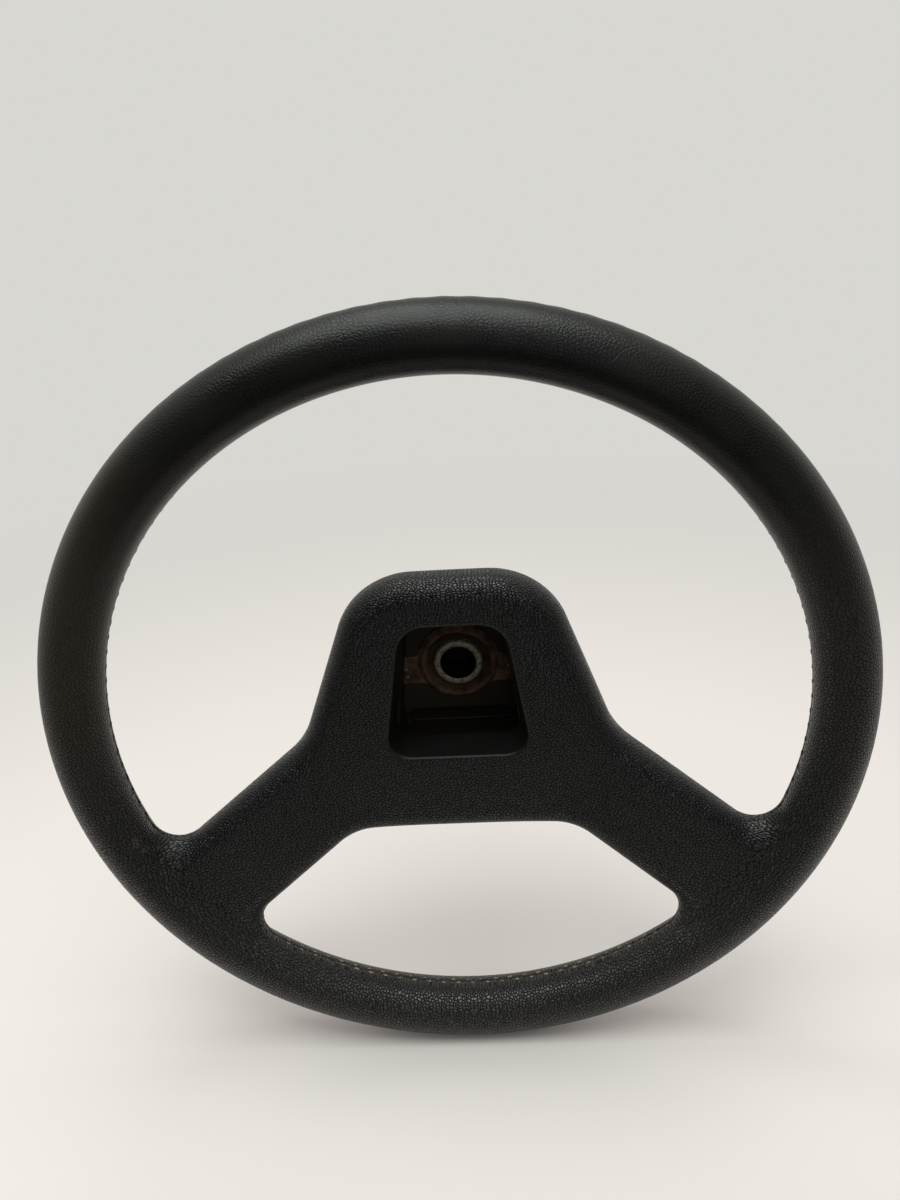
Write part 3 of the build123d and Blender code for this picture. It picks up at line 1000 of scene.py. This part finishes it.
def mill_steel_material(hub):
    """Mild steel bar and strip with dark mill scale and first rust, sealed in the foam."""
    material, add, shader, place = new_material("mill_scale_steel")
    scale = add("ShaderNodeTexNoise", {"Vector": place, "Scale": 1 / (9 * MM), "Detail": 5.0})
    colours = {6: hub.scale_colour, 7: hub.rust_dark}
    coat = add("ShaderNodeMix", {"Factor": scale, **colours}, data_type="RGBA")
    rough = add("ShaderNodeMapRange", {"Value": scale, "To Min": 0.45, "To Max": 0.75})
    feed(shader, {"Base Color": coat, "Metallic": 0.7, "Roughness": rough})
    return material


def rim_point(angle, section, radius=RIM_HALF):
    """Return the point at an angle from the top of the rim and an angle round its section."""
    out = RIM_RADIUS - radius * np.cos(section)
    rearward = RIM_PLANE + radius * np.sin(section)
    return np.stack([out * np.sin(angle), rearward, out * np.cos(angle)], axis=-1)


def smooth_step(value, start, end):
    """Rise smoothly from 0 at start to 1 at end."""
    share = np.clip((value - start) / (end - start), 0, 1)
    return share * share * (3 - 2 * share)


def skin_wear(points):
    """Share of wear: the upper rim is rubbed smooth, the lower rim and the web are not."""
    on_rim = smooth_step(np.hypot(points[:, 0], points[:, 2]), *WEAR_RADII)
    return smooth_step(points[:, 2], *WEAR_HEIGHTS) * on_rim


def skin_dust(points, rim):
    """Share of dust: the seam at the bottom, scuffs on the rim and a smudge on the pad."""
    x, y, z = points.T
    across = RIM_HALF * np.abs(section_angle(x, y, z) - rim.seam_angle)
    near_seam = 1 - smooth_step(across, 0.4 * rim.row_gap, rim.row_gap)
    on_low_rim = smooth_step(np.hypot(x, z), *DUST_RADII) * smooth_step(-z, *DUST_DROPS)
    dust = on_low_rim * np.maximum(RIM_DUST, SEAM_DUST * near_seam)
    scuffs = [
        (rim_point(math.radians(angle), math.radians(section)), radius, amount)
        for angle, section, radius, amount in RIM_SCUFFS
    ]
    for place, radius, amount in (*scuffs, PAD_SMUDGE):
        far = np.linalg.norm(points - np.array(place), axis=1)
        dust = np.maximum(dust, amount * (1 - smooth_step(far, 0.3 * radius, radius)))
    return dust


def skin_film(points):
    """Share of the thin film: dirt where hands held the rim, and inside the pad pale dirt that is
    also painted light in the shaded chamber.
    """
    x, y, z = points.T
    near = 1 * MM
    inside = hollow_distance(np.abs(x), y, z) < near
    on_floor = (np.abs(y - CHAMBER_FLOOR) < near) & (z > SLOT_TOP)
    # Inside the pad the film is also painted light: most on the chamber floor, least on the lit
    # window walls
    walls = np.where(y > CHAMBER_FRONT, CHAMBER_DIRT_AND_PAINTED_LIGHT, WINDOW_DIRT_AND_PAINTED_LIGHT)
    film = inside * np.where(on_floor, FLOOR_DIRT_AND_PAINTED_LIGHT, walls)
    angle = np.degrees(np.arctan2(x, z))
    on_rim = smooth_step(np.hypot(x, z), RIM_RADIUS - 1.5 * RIM_HALF, RIM_RADIUS - RIM_HALF)
    for hold, spread, amount in HAND_HOLDS:
        film = np.maximum(film, amount * on_rim * np.exp(-(((angle - hold) / spread) ** 2)))
    return film


def lay_grain(mesh, points):
    """Lay the maps of the grain: web and housing unfolded about their faces, the rim unrolled.

    Walls unfold from the nearest face. The halves of the rim mirror each other, so that its
    map closes without a seam. Inside the pad there is no grain.
    """
    x, y, z = points.T
    normals = mesh_data(mesh.vertices, "normal", 3)
    corners = mesh_data(mesh.loops, "vertex_index", 1, int)
    first_corners = corners[mesh_data(mesh.polygons, "loop_start", 1, int)]
    heights = np.stack([web_front(x, y, z), web_rear(x, y, z), y - HOUSING_END])
    nearest = np.abs(heights).argmin(axis=0)
    face = np.repeat(nearest[first_corners], mesh_data(mesh.polygons, "loop_total", 1, int))
    unfolded = normals[corners] * heights[face, corners][:, None]
    web = (points[corners] - unfolded)[:, ::2]
    around = RIM_RADIUS * np.abs(np.arctan2(x, z))
    across = RIM_HALF * np.abs(section_angle(x, y, z))
    rim = np.stack([around, across], axis=-1)[corners]
    for name, places in zip(GRAIN_MAPS, (web, rim)):
        layer = mesh.uv_layers.new(name=name)
        layer.uv.foreach_set("vector", places.astype(np.float32).ravel())
    change = 10 * MM
    rim_edge = RIM_RADIUS - RIM_HALF
    set_attribute(mesh, "on_rim", smooth_step(np.hypot(x, z), rim_edge - change, rim_edge))
    fade = 2 * MM
    set_attribute(mesh, "grained", smooth_step(hollow_distance(np.abs(x), y, z), 0.0, fade))


def finger_ridge_tree():
    """Geometry Nodes that press finger hollows into the rear of the upper rim."""
    sizes = ("Pitch", "Depth", "Reach", "Rim Radius", "Rim Plane")
    tree, add, given = new_tree("finger_ridges", dict.fromkeys(sizes, "Float"))
    place = add("GeometryNodeInputPosition")
    x, y, z = add("ShaderNodeSeparateXYZ", {"Vector": place}).node.outputs
    angle = add("ShaderNodeMath", {0: x, 1: z}, operation="ARCTAN2")
    flat = add("ShaderNodeVectorMath", {0: place, 1: (1.0, 0.0, 1.0)}, operation="MULTIPLY")
    out = add("ShaderNodeVectorMath", {0: flat}, operation="LENGTH")
    outward = add("ShaderNodeMath", {0: out, 1: given["Rim Radius"]}, operation="SUBTRACT")
    rearward = add("ShaderNodeMath", {0: y, 1: given["Rim Plane"]}, operation="SUBTRACT")
    section = add("ShaderNodeMath", {0: rearward, 1: outward}, operation="ARCTAN2")
    away = add("ShaderNodeMath", {0: angle}, operation="ABSOLUTE")
    left = add("ShaderNodeMath", {0: given["Reach"], 1: away}, operation="SUBTRACT")
    shares = [
        add("ShaderNodeMapRange", {"Value": value, "From Min": start, "From Max": full}, **SMOOTH)
        for value, start, full in (
            (section, *RIDGE_FRONT),
            (section, *RIDGE_REAR),
            (left, 0.0, RIDGE_FADE),
        )
    ]
    inner_edge = {"From Min": -1.1 * RIM_HALF, "From Max": -0.9 * RIM_HALF}
    on_rim = add("ShaderNodeMapRange", {"Value": outward, **inner_edge})
    turn = add("ShaderNodeMath", {0: angle, 1: given["Pitch"]}, operation="DIVIDE")
    phase = add("ShaderNodeMath", {0: turn, 1: math.pi}, operation="MULTIPLY")
    wave = add("ShaderNodeMath", {0: phase}, operation="COSINE")
    inward = add("ShaderNodeMath", {0: given["Depth"], 1: -1.0}, operation="MULTIPLY")
    for share in (*shares, on_rim, wave, wave):
        inward = add("ShaderNodeMath", {0: inward, 1: share}, operation="MULTIPLY")
    normal = add("GeometryNodeInputNormal")
    offset = add("ShaderNodeVectorMath", {0: normal, "Scale": inward}, operation="SCALE")
    pressed = add("GeometryNodeSetPosition", {"Geometry": given["Geometry"], "Offset": offset})
    close_tree(add, given, pressed)
    return tree


def stitch_tree():
    """Geometry Nodes that set one moulded stitch after another along a path on the rim."""
    inputs = {"Pitch": "Float", "Size": "Vector", "Seed": "Int"}
    tree, add, given = new_tree("moulded_stitches", inputs)
    path = add("GeometryNodeMeshToCurve", {"Mesh": given["Geometry"]})
    pitch = {"Curve": path, "Length": given["Pitch"]}
    steps = add("GeometryNodeResampleCurve", pitch, mode="LENGTH")
    up = add("GeometryNodeInputNamedAttribute", {"Name": "up"}, data_type="FLOAT_VECTOR")
    along = add("GeometryNodeInputTangent")
    sway_range = {0: (-0.25,) * 3, 1: (0.25,) * 3, "Seed": given["Seed"]}
    sway = add("FunctionNodeRandomValue", sway_range, data_type="FLOAT_VECTOR")
    slanted = add("ShaderNodeVectorMath", {0: along, 1: sway}, operation="ADD")
    turn = add(
        "FunctionNodeAxesToRotation",
        {"Primary Axis": up, "Secondary Axis": slanted},
        primary_axis="Z",
        secondary_axis="X",
    )
    bead = add("GeometryNodeMeshIcoSphere", {"Radius": 0.5, "Subdivisions": 2})
    smooth = add("GeometryNodeSetShadeSmooth", {"Geometry": bead})
    growth_range = {2: 0.85, 3: 1.15, "Seed": given["Seed"]}
    growth = add("FunctionNodeRandomValue", growth_range, data_type="FLOAT")
    size = add("ShaderNodeVectorMath", {0: given["Size"], "Scale": growth}, operation="SCALE")
    row = add(
        "GeometryNodeInstanceOnPoints",
        {"Points": steps, "Instance": smooth, "Rotation": turn, "Scale": size},
    )
    close_tree(add, given, row)
    return tree


def spline_tree():
    """Geometry Nodes that set the teeth of the fine spline round the bore."""
    inputs = {"Count": "Int", "Tip Radius": "Float", "Tooth Radius": "Float", "Length": "Float"}
    tree, add, given = new_tree("spline_teeth", inputs)
    tooth_radius = given["Tooth Radius"]
    middle_radius = add("ShaderNodeMath", {0: given["Tip Radius"], 1: tooth_radius}, operation="ADD")
    ring = add("GeometryNodeMeshCircle", {"Vertices": given["Count"], "Radius": middle_radius})
    half = add("ShaderNodeMath", {0: given["Length"], 1: 0.5}, operation="MULTIPLY")
    middle = add("ShaderNodeCombineXYZ", {"Y": half})
    upright = add(
        "GeometryNodeTransform",
        {"Geometry": ring, "Rotation": Euler((math.pi / 2, 0, 0)), "Translation": middle},
    )
    tooth = add(
        "GeometryNodeMeshCylinder",
        {"Vertices": 3, "Radius": tooth_radius, "Depth": given["Length"]},
    )
    place = add("GeometryNodeInputPosition")
    inward = add("ShaderNodeVectorMath", {0: place, 1: (-1.0, 0.0, -1.0)}, operation="MULTIPLY")
    turn = add(
        "FunctionNodeAxesToRotation",
        {"Primary Axis": (0.0, 1.0, 0.0), "Secondary Axis": inward},
        primary_axis="Z",
        secondary_axis="X",
    )
    teeth = add(
        "GeometryNodeInstanceOnPoints", {"Points": upright, "Instance": tooth, "Rotation": turn}
    )
    close_tree(add, given, teeth)
    return tree


def spatter_tree():
    """Geometry Nodes that strew drops of weld spatter over the front of the wings."""
    inputs = {"Density": "Float", "Radius": "Float", "Inner Edge": "Float", "Seed": "Int"}
    tree, add, given = new_tree("weld_spatter", inputs)
    normal = add("GeometryNodeInputNormal")
    facing = add("ShaderNodeSeparateXYZ", {"Vector": normal}, out="Y")
    front = add("ShaderNodeMath", {0: facing, 1: -0.8}, operation="LESS_THAN")
    place = add("GeometryNodeInputPosition")
    across = add("ShaderNodeSeparateXYZ", {"Vector": place}, out="X")
    aside = add("ShaderNodeMath", {0: across}, operation="ABSOLUTE")
    outer = add("ShaderNodeMath", {0: aside, 1: given["Inner Edge"]}, operation="GREATER_THAN")
    chosen = add("ShaderNodeMath", {0: front, 1: outer}, operation="MULTIPLY")
    spread = {"Mesh": given["Geometry"], "Density": given["Density"], "Seed": given["Seed"]}
    drops = add("GeometryNodeDistributePointsOnFaces", {**spread, "Selection": chosen})
    bead = add("GeometryNodeMeshIcoSphere", {"Radius": 1.0, "Subdivisions": 2})
    smooth = add("GeometryNodeSetShadeSmooth", {"Geometry": bead})
    share_range = {2: 0.3, 3: 1.0, "Seed": given["Seed"]}
    share = add("FunctionNodeRandomValue", share_range, data_type="FLOAT")
    radius = add("ShaderNodeMath", {0: share, 1: given["Radius"]}, operation="MULTIPLY")
    size = add("ShaderNodeVectorMath", {0: (1.0, 1.0, 0.6), "Scale": radius}, operation="SCALE")
    turn = drops.node.outputs["Rotation"]
    strewn = add(
        "GeometryNodeInstanceOnPoints",
        {"Points": drops, "Instance": smooth, "Rotation": turn, "Scale": size},
    )
    close_tree(add, given, strewn)
    return tree


class WHEEL_OT_foam_skin(bpy.types.Operator):
    """Make the grained skin of the foam moulding, with its seam and finger ridges"""

    bl_idname = "steering_wheel.foam_skin"
    bl_label = "Foam Skin"

    def execute(self, context):
        rim = context.scene.wheel_rim
        skin = context.scene.wheel_skin

        def rule_near(points):
            return partial(moulding_distance, rim=rim, crease=crease_cosine(points, rim))

        def near_seam(points):
            across = section_angle(*points.T) - rim.seam_angle
            on_rim = np.hypot(points[:, 0], points[:, 2]) > RIM_RADIUS - 1.1 * RIM_HALF
            return on_rim & (np.abs(RIM_HALF * across) < 2 * rim.seam_width)

        distance = partial(moulding_distance, rim=rim)
        mesh = grown_mesh("foam_skin", distance, rule_near, FOAM_LOW, FOAM_HIGH, skin.mesh_step)
        refine(mesh, rule_near, near_seam)
        refine(mesh, rule_near)
        points = mesh_data(mesh.vertices, "co", 3)
        set_attribute(mesh, "wear", skin_wear(points))
        set_attribute(mesh, "dust", skin_dust(points, rim))
        set_attribute(mesh, "film", skin_film(points))
        lay_grain(mesh, points)
        piece = new_object("foam_skin", mesh)
        values = {
            "Pitch": rim.ridge_pitch,
            "Depth": rim.ridge_depth,
            "Reach": rim.ridge_reach,
            "Rim Radius": RIM_RADIUS,
            "Rim Plane": RIM_PLANE,
            "Material": foam_skin_material(skin),
        }
        apply_tree(piece, finger_ridge_tree(), values)
        piece.data.shade_smooth()
        seat(piece, "black_foam_skin", "foam_moulding")
        return {"FINISHED"}


class WHEEL_OT_stitches(bpy.types.Operator):
    """Set the two rows of moulded stitches along the seam inside the rim"""

    bl_idname = "steering_wheel.stitches"
    bl_label = "Moulded Stitches"

    def execute(self, context):
        rim = context.scene.wheel_rim
        path_step = 0.5
        web_clearance = 0.6 * RIM_BLEND
        points = []
        ups = []
        edges = []
        for row in (-1, 1):
            section = rim.seam_angle + row * rim.row_gap / 2 / RIM_HALF
            shift = rim.stitch_pitch / 4 * row / RIM_RADIUS
            turns = np.radians(np.arange(0, 360, path_step)) + shift
            sections = np.full_like(turns, section)
            places = rim_point(turns, sections)
            web = web_distance(np.abs(places[:, 0]), places[:, 1], places[:, 2])
            free = web > web_clearance
            start = len(points)
            points.extend(places.tolist())
            ups.extend((places - rim_point(turns, sections, radius=0.0)).tolist())
            for i in range(len(turns)):
                j = (i + 1) % len(turns)
                if free[i] and free[j]:
                    edges.append((start + i, start + j))
        mesh = bpy.data.meshes.new("rim_stitches")
        mesh.from_pydata(points, edges, [])
        up = mesh.attributes.new("up", "FLOAT_VECTOR", "POINT")
        up.data.foreach_set("vector", np.array(ups, np.float32).ravel())
        edit = bmesh.new()
        edit.from_mesh(mesh)
        loose = [vertex for vertex in edit.verts if not vertex.link_edges]
        bmesh.ops.delete(edit, geom=loose, context="VERTS")
        edit.to_mesh(mesh)
        edit.free()
        piece = new_object("rim_stitches", mesh)
        values = {
            "Pitch": rim.stitch_pitch,
            "Size": Vector(rim.stitch_size),
            "Seed": STITCH_SEED,
            "Material": stitch_material(context.scene.wheel_skin),
        }
        apply_tree(piece, stitch_tree(), values)
        seat(piece, "black_foam_skin")
        return {"FINISHED"}


class WHEEL_OT_hub_plate(bpy.types.Operator):
    """Make the rusty pressed hub plate with its round crest and two wings"""

    bl_idname = "steering_wheel.hub_plate"
    bl_label = "Hub Plate"

    def execute(self, context):
        def rule_near(points):
            return plate_distance

        box = (PLATE_LOW, PLATE_HIGH)
        mesh = grown_mesh("rusty_hub_plate", plate_distance, rule_near, *box, PLATE_STEP)
        points = mesh_data(mesh.vertices, "co", 3)
        bare = np.zeros(len(points))
        for across, up, radius in BARE_SPOTS:
            far = np.hypot(points[:, 0] - across, points[:, 2] - up)
            bare = np.maximum(bare, 1 - smooth_step(far, 0.4 * radius, 1.6 * radius))
        set_attribute(mesh, "bare", bare)
        # Darker on the floor of the dish round the bush
        out = np.hypot(points[:, 0], points[:, 2])
        dish_darkening = DISH_DARKENING * (1 - smooth_step(out, DISH_FLOOR_RADIUS, CREST_RADIUS))
        set_attribute(mesh, "dish_darkening", dish_darkening)
        hub = context.scene.wheel_hub
        material = rusty_steel_material(hub)
        piece = new_object("rusty_hub_plate", mesh)
        mesh.materials.append(material)
        seat(piece, "rusty_steel", "hub_plate")
        spatter = new_object("weld_spatter", mesh.copy())
        wing_area = 2 * (WING_HALF_SPAN - BRIM_RADIUS) * (WING_TOP + WING_BOTTOM)
        values = {
            "Density": hub.spatter_count / wing_area,
            "Radius": hub.spatter_radius,
            "Inner Edge": BRIM_RADIUS,
            "Seed": SPATTER_SEED,
            "Material": material,
        }
        apply_tree(spatter, spatter_tree(), values)
        seat(spatter, "rusty_steel")
        return {"FINISHED"}


class WHEEL_OT_bush(bpy.types.Operator):
    """Turn the bush with its chamfers and set the fine spline in its bore"""

    bl_idname = "steering_wheel.bush"
    bl_label = "Splined Bush"

    def execute(self, context):
        hub = context.scene.wheel_hub
        grease = bore_grease_and_shade_material(hub)
        front, back = BUSH_LOW.y, BUSH_HIGH.y
        chamfer = 0.8 * MM
        edge_round = 0.15 * MM
        rounded_turn = math.radians(20)
        sharp_turn = math.radians(35)
        root = BORE_RADIUS + hub.tooth_height
        bore_limit = root + 0.1 * MM
        profile = [
            (root, front + chamfer / 2),
            (root + chamfer / 2, front),
            (BUSH_RADIUS - chamfer, front),
            (BUSH_RADIUS, front + chamfer),
            (BUSH_RADIUS, back - chamfer),
            (BUSH_RADIUS - chamfer, back),
            (root + chamfer / 2, back),
            (root, back - chamfer / 2),
        ]
        edit = bmesh.new()
        ring = [edit.verts.new((radius, y, 0)) for radius, y in profile]
        edges = [edit.edges.new((a, b)) for a, b in zip(ring, ring[1:] + ring[:1])]
        bmesh.ops.spin(
            edit,
            geom=ring + edges,
            cent=(0, 0, 0),
            axis=(0, 1, 0),
            angle=2 * math.pi,
            steps=CIRCLE_SIDES,
            use_merge=True,
        )
        bmesh.ops.remove_doubles(edit, verts=edit.verts, dist=0.001 * MM)
        bmesh.ops.recalc_face_normals(edit, faces=edit.faces)
        corners = [
            edge
            for edge in edit.edges
            if len(edge.link_faces) == 2 and edge.calc_face_angle() > rounded_turn
        ]
        bmesh.ops.bevel(
            edit, geom=corners, offset=edge_round, segments=2, affect="EDGES", profile=0.5
        )
        mesh = bpy.data.meshes.new("turned_bush")
        edit.to_mesh(mesh)
        edit.free()
        mesh.shade_smooth()
        mesh.set_sharp_from_angle(angle=sharp_turn)
        # Bore faces and spline teeth take the dark grease colour, which also paints the shade in the
        # bore
        mesh.materials.append(turned_steel_material(hub))
        mesh.materials.append(grease)
        for face in mesh.polygons:
            in_bore = math.hypot(face.center.x, face.center.z) < bore_limit
            face.material_index = int(in_bore)
        piece = new_object("turned_bush", mesh)
        seat(piece, "bare_steel", "splined_bush")
        teeth = new_object("spline_teeth", bpy.data.meshes.new("spline_teeth"))
        # A tooth is a three-sided bar, 1.5 times its radius high, with its foot sunk in the wall
        foot = 0.1 * MM
        values = {
            "Count": hub.tooth_count,
            "Tip Radius": BORE_RADIUS,
            "Tooth Radius": (hub.tooth_height + foot) / 1.5,
            "Length": back - front - chamfer,
            "Material": grease,
        }
        apply_tree(teeth, spline_tree(), values)
        seat(teeth, "bare_steel")
        return {"FINISHED"}


class WHEEL_OT_armature(bpy.types.Operator):
    """Give the ring and arms inside the foam their steel finish"""

    bl_idname = "steering_wheel.armature"
    bl_label = "Steel Armature"

    def execute(self, context):
        material = mill_steel_material(context.scene.wheel_hub)
        for name in ("rim_ring", "left_arm", "right_arm"):
            solid = frame["nodes"][name]
            solid.data.materials.clear()
            solid.data.materials.append(material)
        return {"FINISHED"}


class WHEEL_OT_stage(bpy.types.Operator):
    """Set the pale floor, the black card of painted shade behind the bore, the soft light and the
    camera
    """

    bl_idname = "steering_wheel.stage"
    bl_label = "Stage"

    def execute(self, context):
        stage = context.scene.wheel_stage
        self.make_floor(stage)
        self.make_bore_shade_card()
        self.make_surroundings(context, stage)
        lamp = self.make_lamp(
            "overhead_softbox", stage.lamp_place, stage.lamp_size, stage.lamp_power
        )
        lamp.color = stage.lamp_colour
        self.make_lamp("side_fill", stage.side_place, stage.side_size, stage.side_power)
        self.make_lamp("low_fill", stage.low_place, stage.low_size, stage.low_power)
        lens = bpy.data.cameras.new("camera")
        lens.lens = stage.focal_length
        lens.sensor_width = 36
        lens.clip_start = 0.01
        camera = new_object("camera", lens)
        camera.location = stage.camera_place
        camera.rotation_euler = stage.camera_turn
        context.scene.camera = camera
        context.scene.view_settings.view_transform = "Standard"
        return {"FINISHED"}

    def make_disc(self, name, radius, place, turn, material):
        """Set a flat disc on the stage."""
        edit = bmesh.new()
        bmesh.ops.create_circle(edit, cap_ends=True, radius=radius, segments=CIRCLE_SIDES)
        bmesh.ops.rotate(edit, verts=edit.verts, cent=(0, 0, 0), matrix=turn)
        bmesh.ops.translate(edit, verts=edit.verts, vec=place)
        mesh = bpy.data.meshes.new(name)
        edit.to_mesh(mesh)
        edit.free()
        mesh.materials.append(material)
        new_object(name, mesh)

    def see_through(self, add, shader, share):
        """Mix a share of clear into a shader's output."""
        clear = add("ShaderNodeBsdfTransparent")
        blend = add("ShaderNodeMixShader", {0: share, 1: shader.outputs["BSDF"], 2: clear})
        ending = next(n for n in shader.id_data.nodes if n.type == "OUTPUT_MATERIAL")
        feed(ending, {"Surface": blend})

    def make_floor(self, stage):
        """Lay the floor under the rim; it fades out into the surroundings."""
        material, add, shader, place = new_material("pale_painted_board")
        tint = add("ShaderNodeTexNoise", {"Vector": place, "Scale": 3.0, "Detail": 3.0})
        paler = [min(1.0, 1.04 * channel) for channel in stage.floor_colour]
        colours = {6: stage.floor_colour, 7: paler}
        coat = add("ShaderNodeMix", {"Factor": tint, **colours}, data_type="RGBA")
        feed(shader, {"Base Color": coat, "Roughness": 0.7, "Specular IOR Level": 0.2})
        away = add("ShaderNodeVectorMath", {0: place}, operation="LENGTH")
        depth = add("ShaderNodeSeparateXYZ", {"Vector": place}, out="Y")
        far, front = (
            add("ShaderNodeMapRange", {"Value": value, "From Min": start, "From Max": end}, **SMOOTH)
            for value, start, end in (
                (away, FLOOR_FADE_START, stage.floor_radius),
                (depth, *FLOOR_FRONT_FADE),
            )
        )
        fade = add("ShaderNodeMath", {0: far, 1: front}, operation="MAXIMUM")
        self.see_through(add, shader, fade)
        middle = (0, RIM_PLANE, CAD_BOX[0][2])
        self.make_disc("floor", stage.floor_radius, middle, Matrix.Identity(3), material)

    def make_bore_shade_card(self):
        """Stand a black card behind the bore, painted shade where the bore would be in shadow; it is
        clear from behind.
        """
        material, add, shader, _ = new_material("painted_shade_card")
        # Painted shade: a black sheet behind the bore
        feed(shader, {"Base Color": linear("#0b0a09"), "Roughness": 0.9})
        self.see_through(add, shader, add("ShaderNodeNewGeometry", out="Backfacing"))
        turn = Matrix.Rotation(math.radians(90), 3, "X")
        middle = (0, BUSH_HIGH.y + 0.2 * MM, 0)
        self.make_disc("bore_shade_card", (BORE_RADIUS + BUSH_RADIUS) / 2, middle, turn, material)

    def make_surroundings(self, context, stage):
        """Set the pale surroundings, which light the wheel less from the driver's side."""
        world = bpy.data.worlds.new("pale_surroundings")
        world.use_nodes = True
        world.node_tree.nodes.clear()
        add = partial(node, world.node_tree)
        way = add("ShaderNodeTexCoord", out="Generated")
        _, depth, height = add("ShaderNodeSeparateXYZ", {"Vector": way}).node.outputs
        share, full = stage.front_share, stage.ceiling_share
        for value, (start, end) in ((height, CEILING_RISE), (depth, FRONT_TO_BACK)):
            steps = {"From Min": start, "From Max": end, "To Min": share, "To Max": full}
            share = add("ShaderNodeMapRange", {"Value": value, **steps}, **SMOOTH)
            full = 1.0
        seen = add("ShaderNodeLightPath", out="Is Camera Ray")
        level = add("ShaderNodeMix", {"Factor": seen, 2: share, 3: 1.0}, data_type="FLOAT")
        sky = add("ShaderNodeBackground", {"Color": stage.backdrop_colour, "Strength": level})
        add("ShaderNodeOutputWorld", {"Surface": sky})
        context.scene.world = world

    def make_lamp(self, name, place, size, power):
        """Hang a soft square lamp that shines at the middle of the rim."""
        lamp = bpy.data.lights.new(name, "AREA")
        lamp.shape = "SQUARE"
        lamp.size = size
        lamp.energy = power
        softbox = new_object(name, lamp)
        softbox.location = place
        aim = Vector((0, RIM_PLANE, 0)) - Vector(place)
        softbox.rotation_euler = aim.to_track_quat("-Z", "Y").to_euler()
        return lamp


PIECES = ("foam_skin", "stitches", "hub_plate", "bush", "armature", "stage")


class VIEW3D_PT_steering_wheel(bpy.types.Panel):
    """Lists the pieces of the steering wheel and their settings"""

    bl_idname = "VIEW3D_PT_steering_wheel"
    bl_label = "Steering Wheel"
    bl_space_type = "VIEW_3D"
    bl_region_type = "UI"
    bl_category = "Steering Wheel"

    def draw(self, context):
        for piece in PIECES:
            self.layout.operator(f"steering_wheel.{piece}")
        for group in SETTINGS:
            box = self.layout.box()
            settings = getattr(context.scene, group)
            for name in settings.__annotations__:
                box.prop(settings, name)


SETTINGS = {
    "wheel_rim": RimSettings,
    "wheel_skin": SkinSettings,
    "wheel_hub": HubSettings,
    "wheel_stage": StageSettings,
}
CLASSES = (
    *SETTINGS.values(),
    WHEEL_OT_foam_skin,
    WHEEL_OT_stitches,
    WHEEL_OT_hub_plate,
    WHEEL_OT_bush,
    WHEEL_OT_armature,
    WHEEL_OT_stage,
    VIEW3D_PT_steering_wheel,
)


def register():
    for cls in CLASSES:
        bpy.utils.register_class(cls)
    for name, group in SETTINGS.items():
        setattr(bpy.types.Scene, name, PointerProperty(type=group))


def unregister():
    for name in SETTINGS:
        delattr(bpy.types.Scene, name)
    for cls in reversed(CLASSES):
        bpy.utils.unregister_class(cls)


def main():
    register()
    for piece in PIECES:
        getattr(bpy.ops.steering_wheel, piece)()


if __name__ == "__main__":
    main()
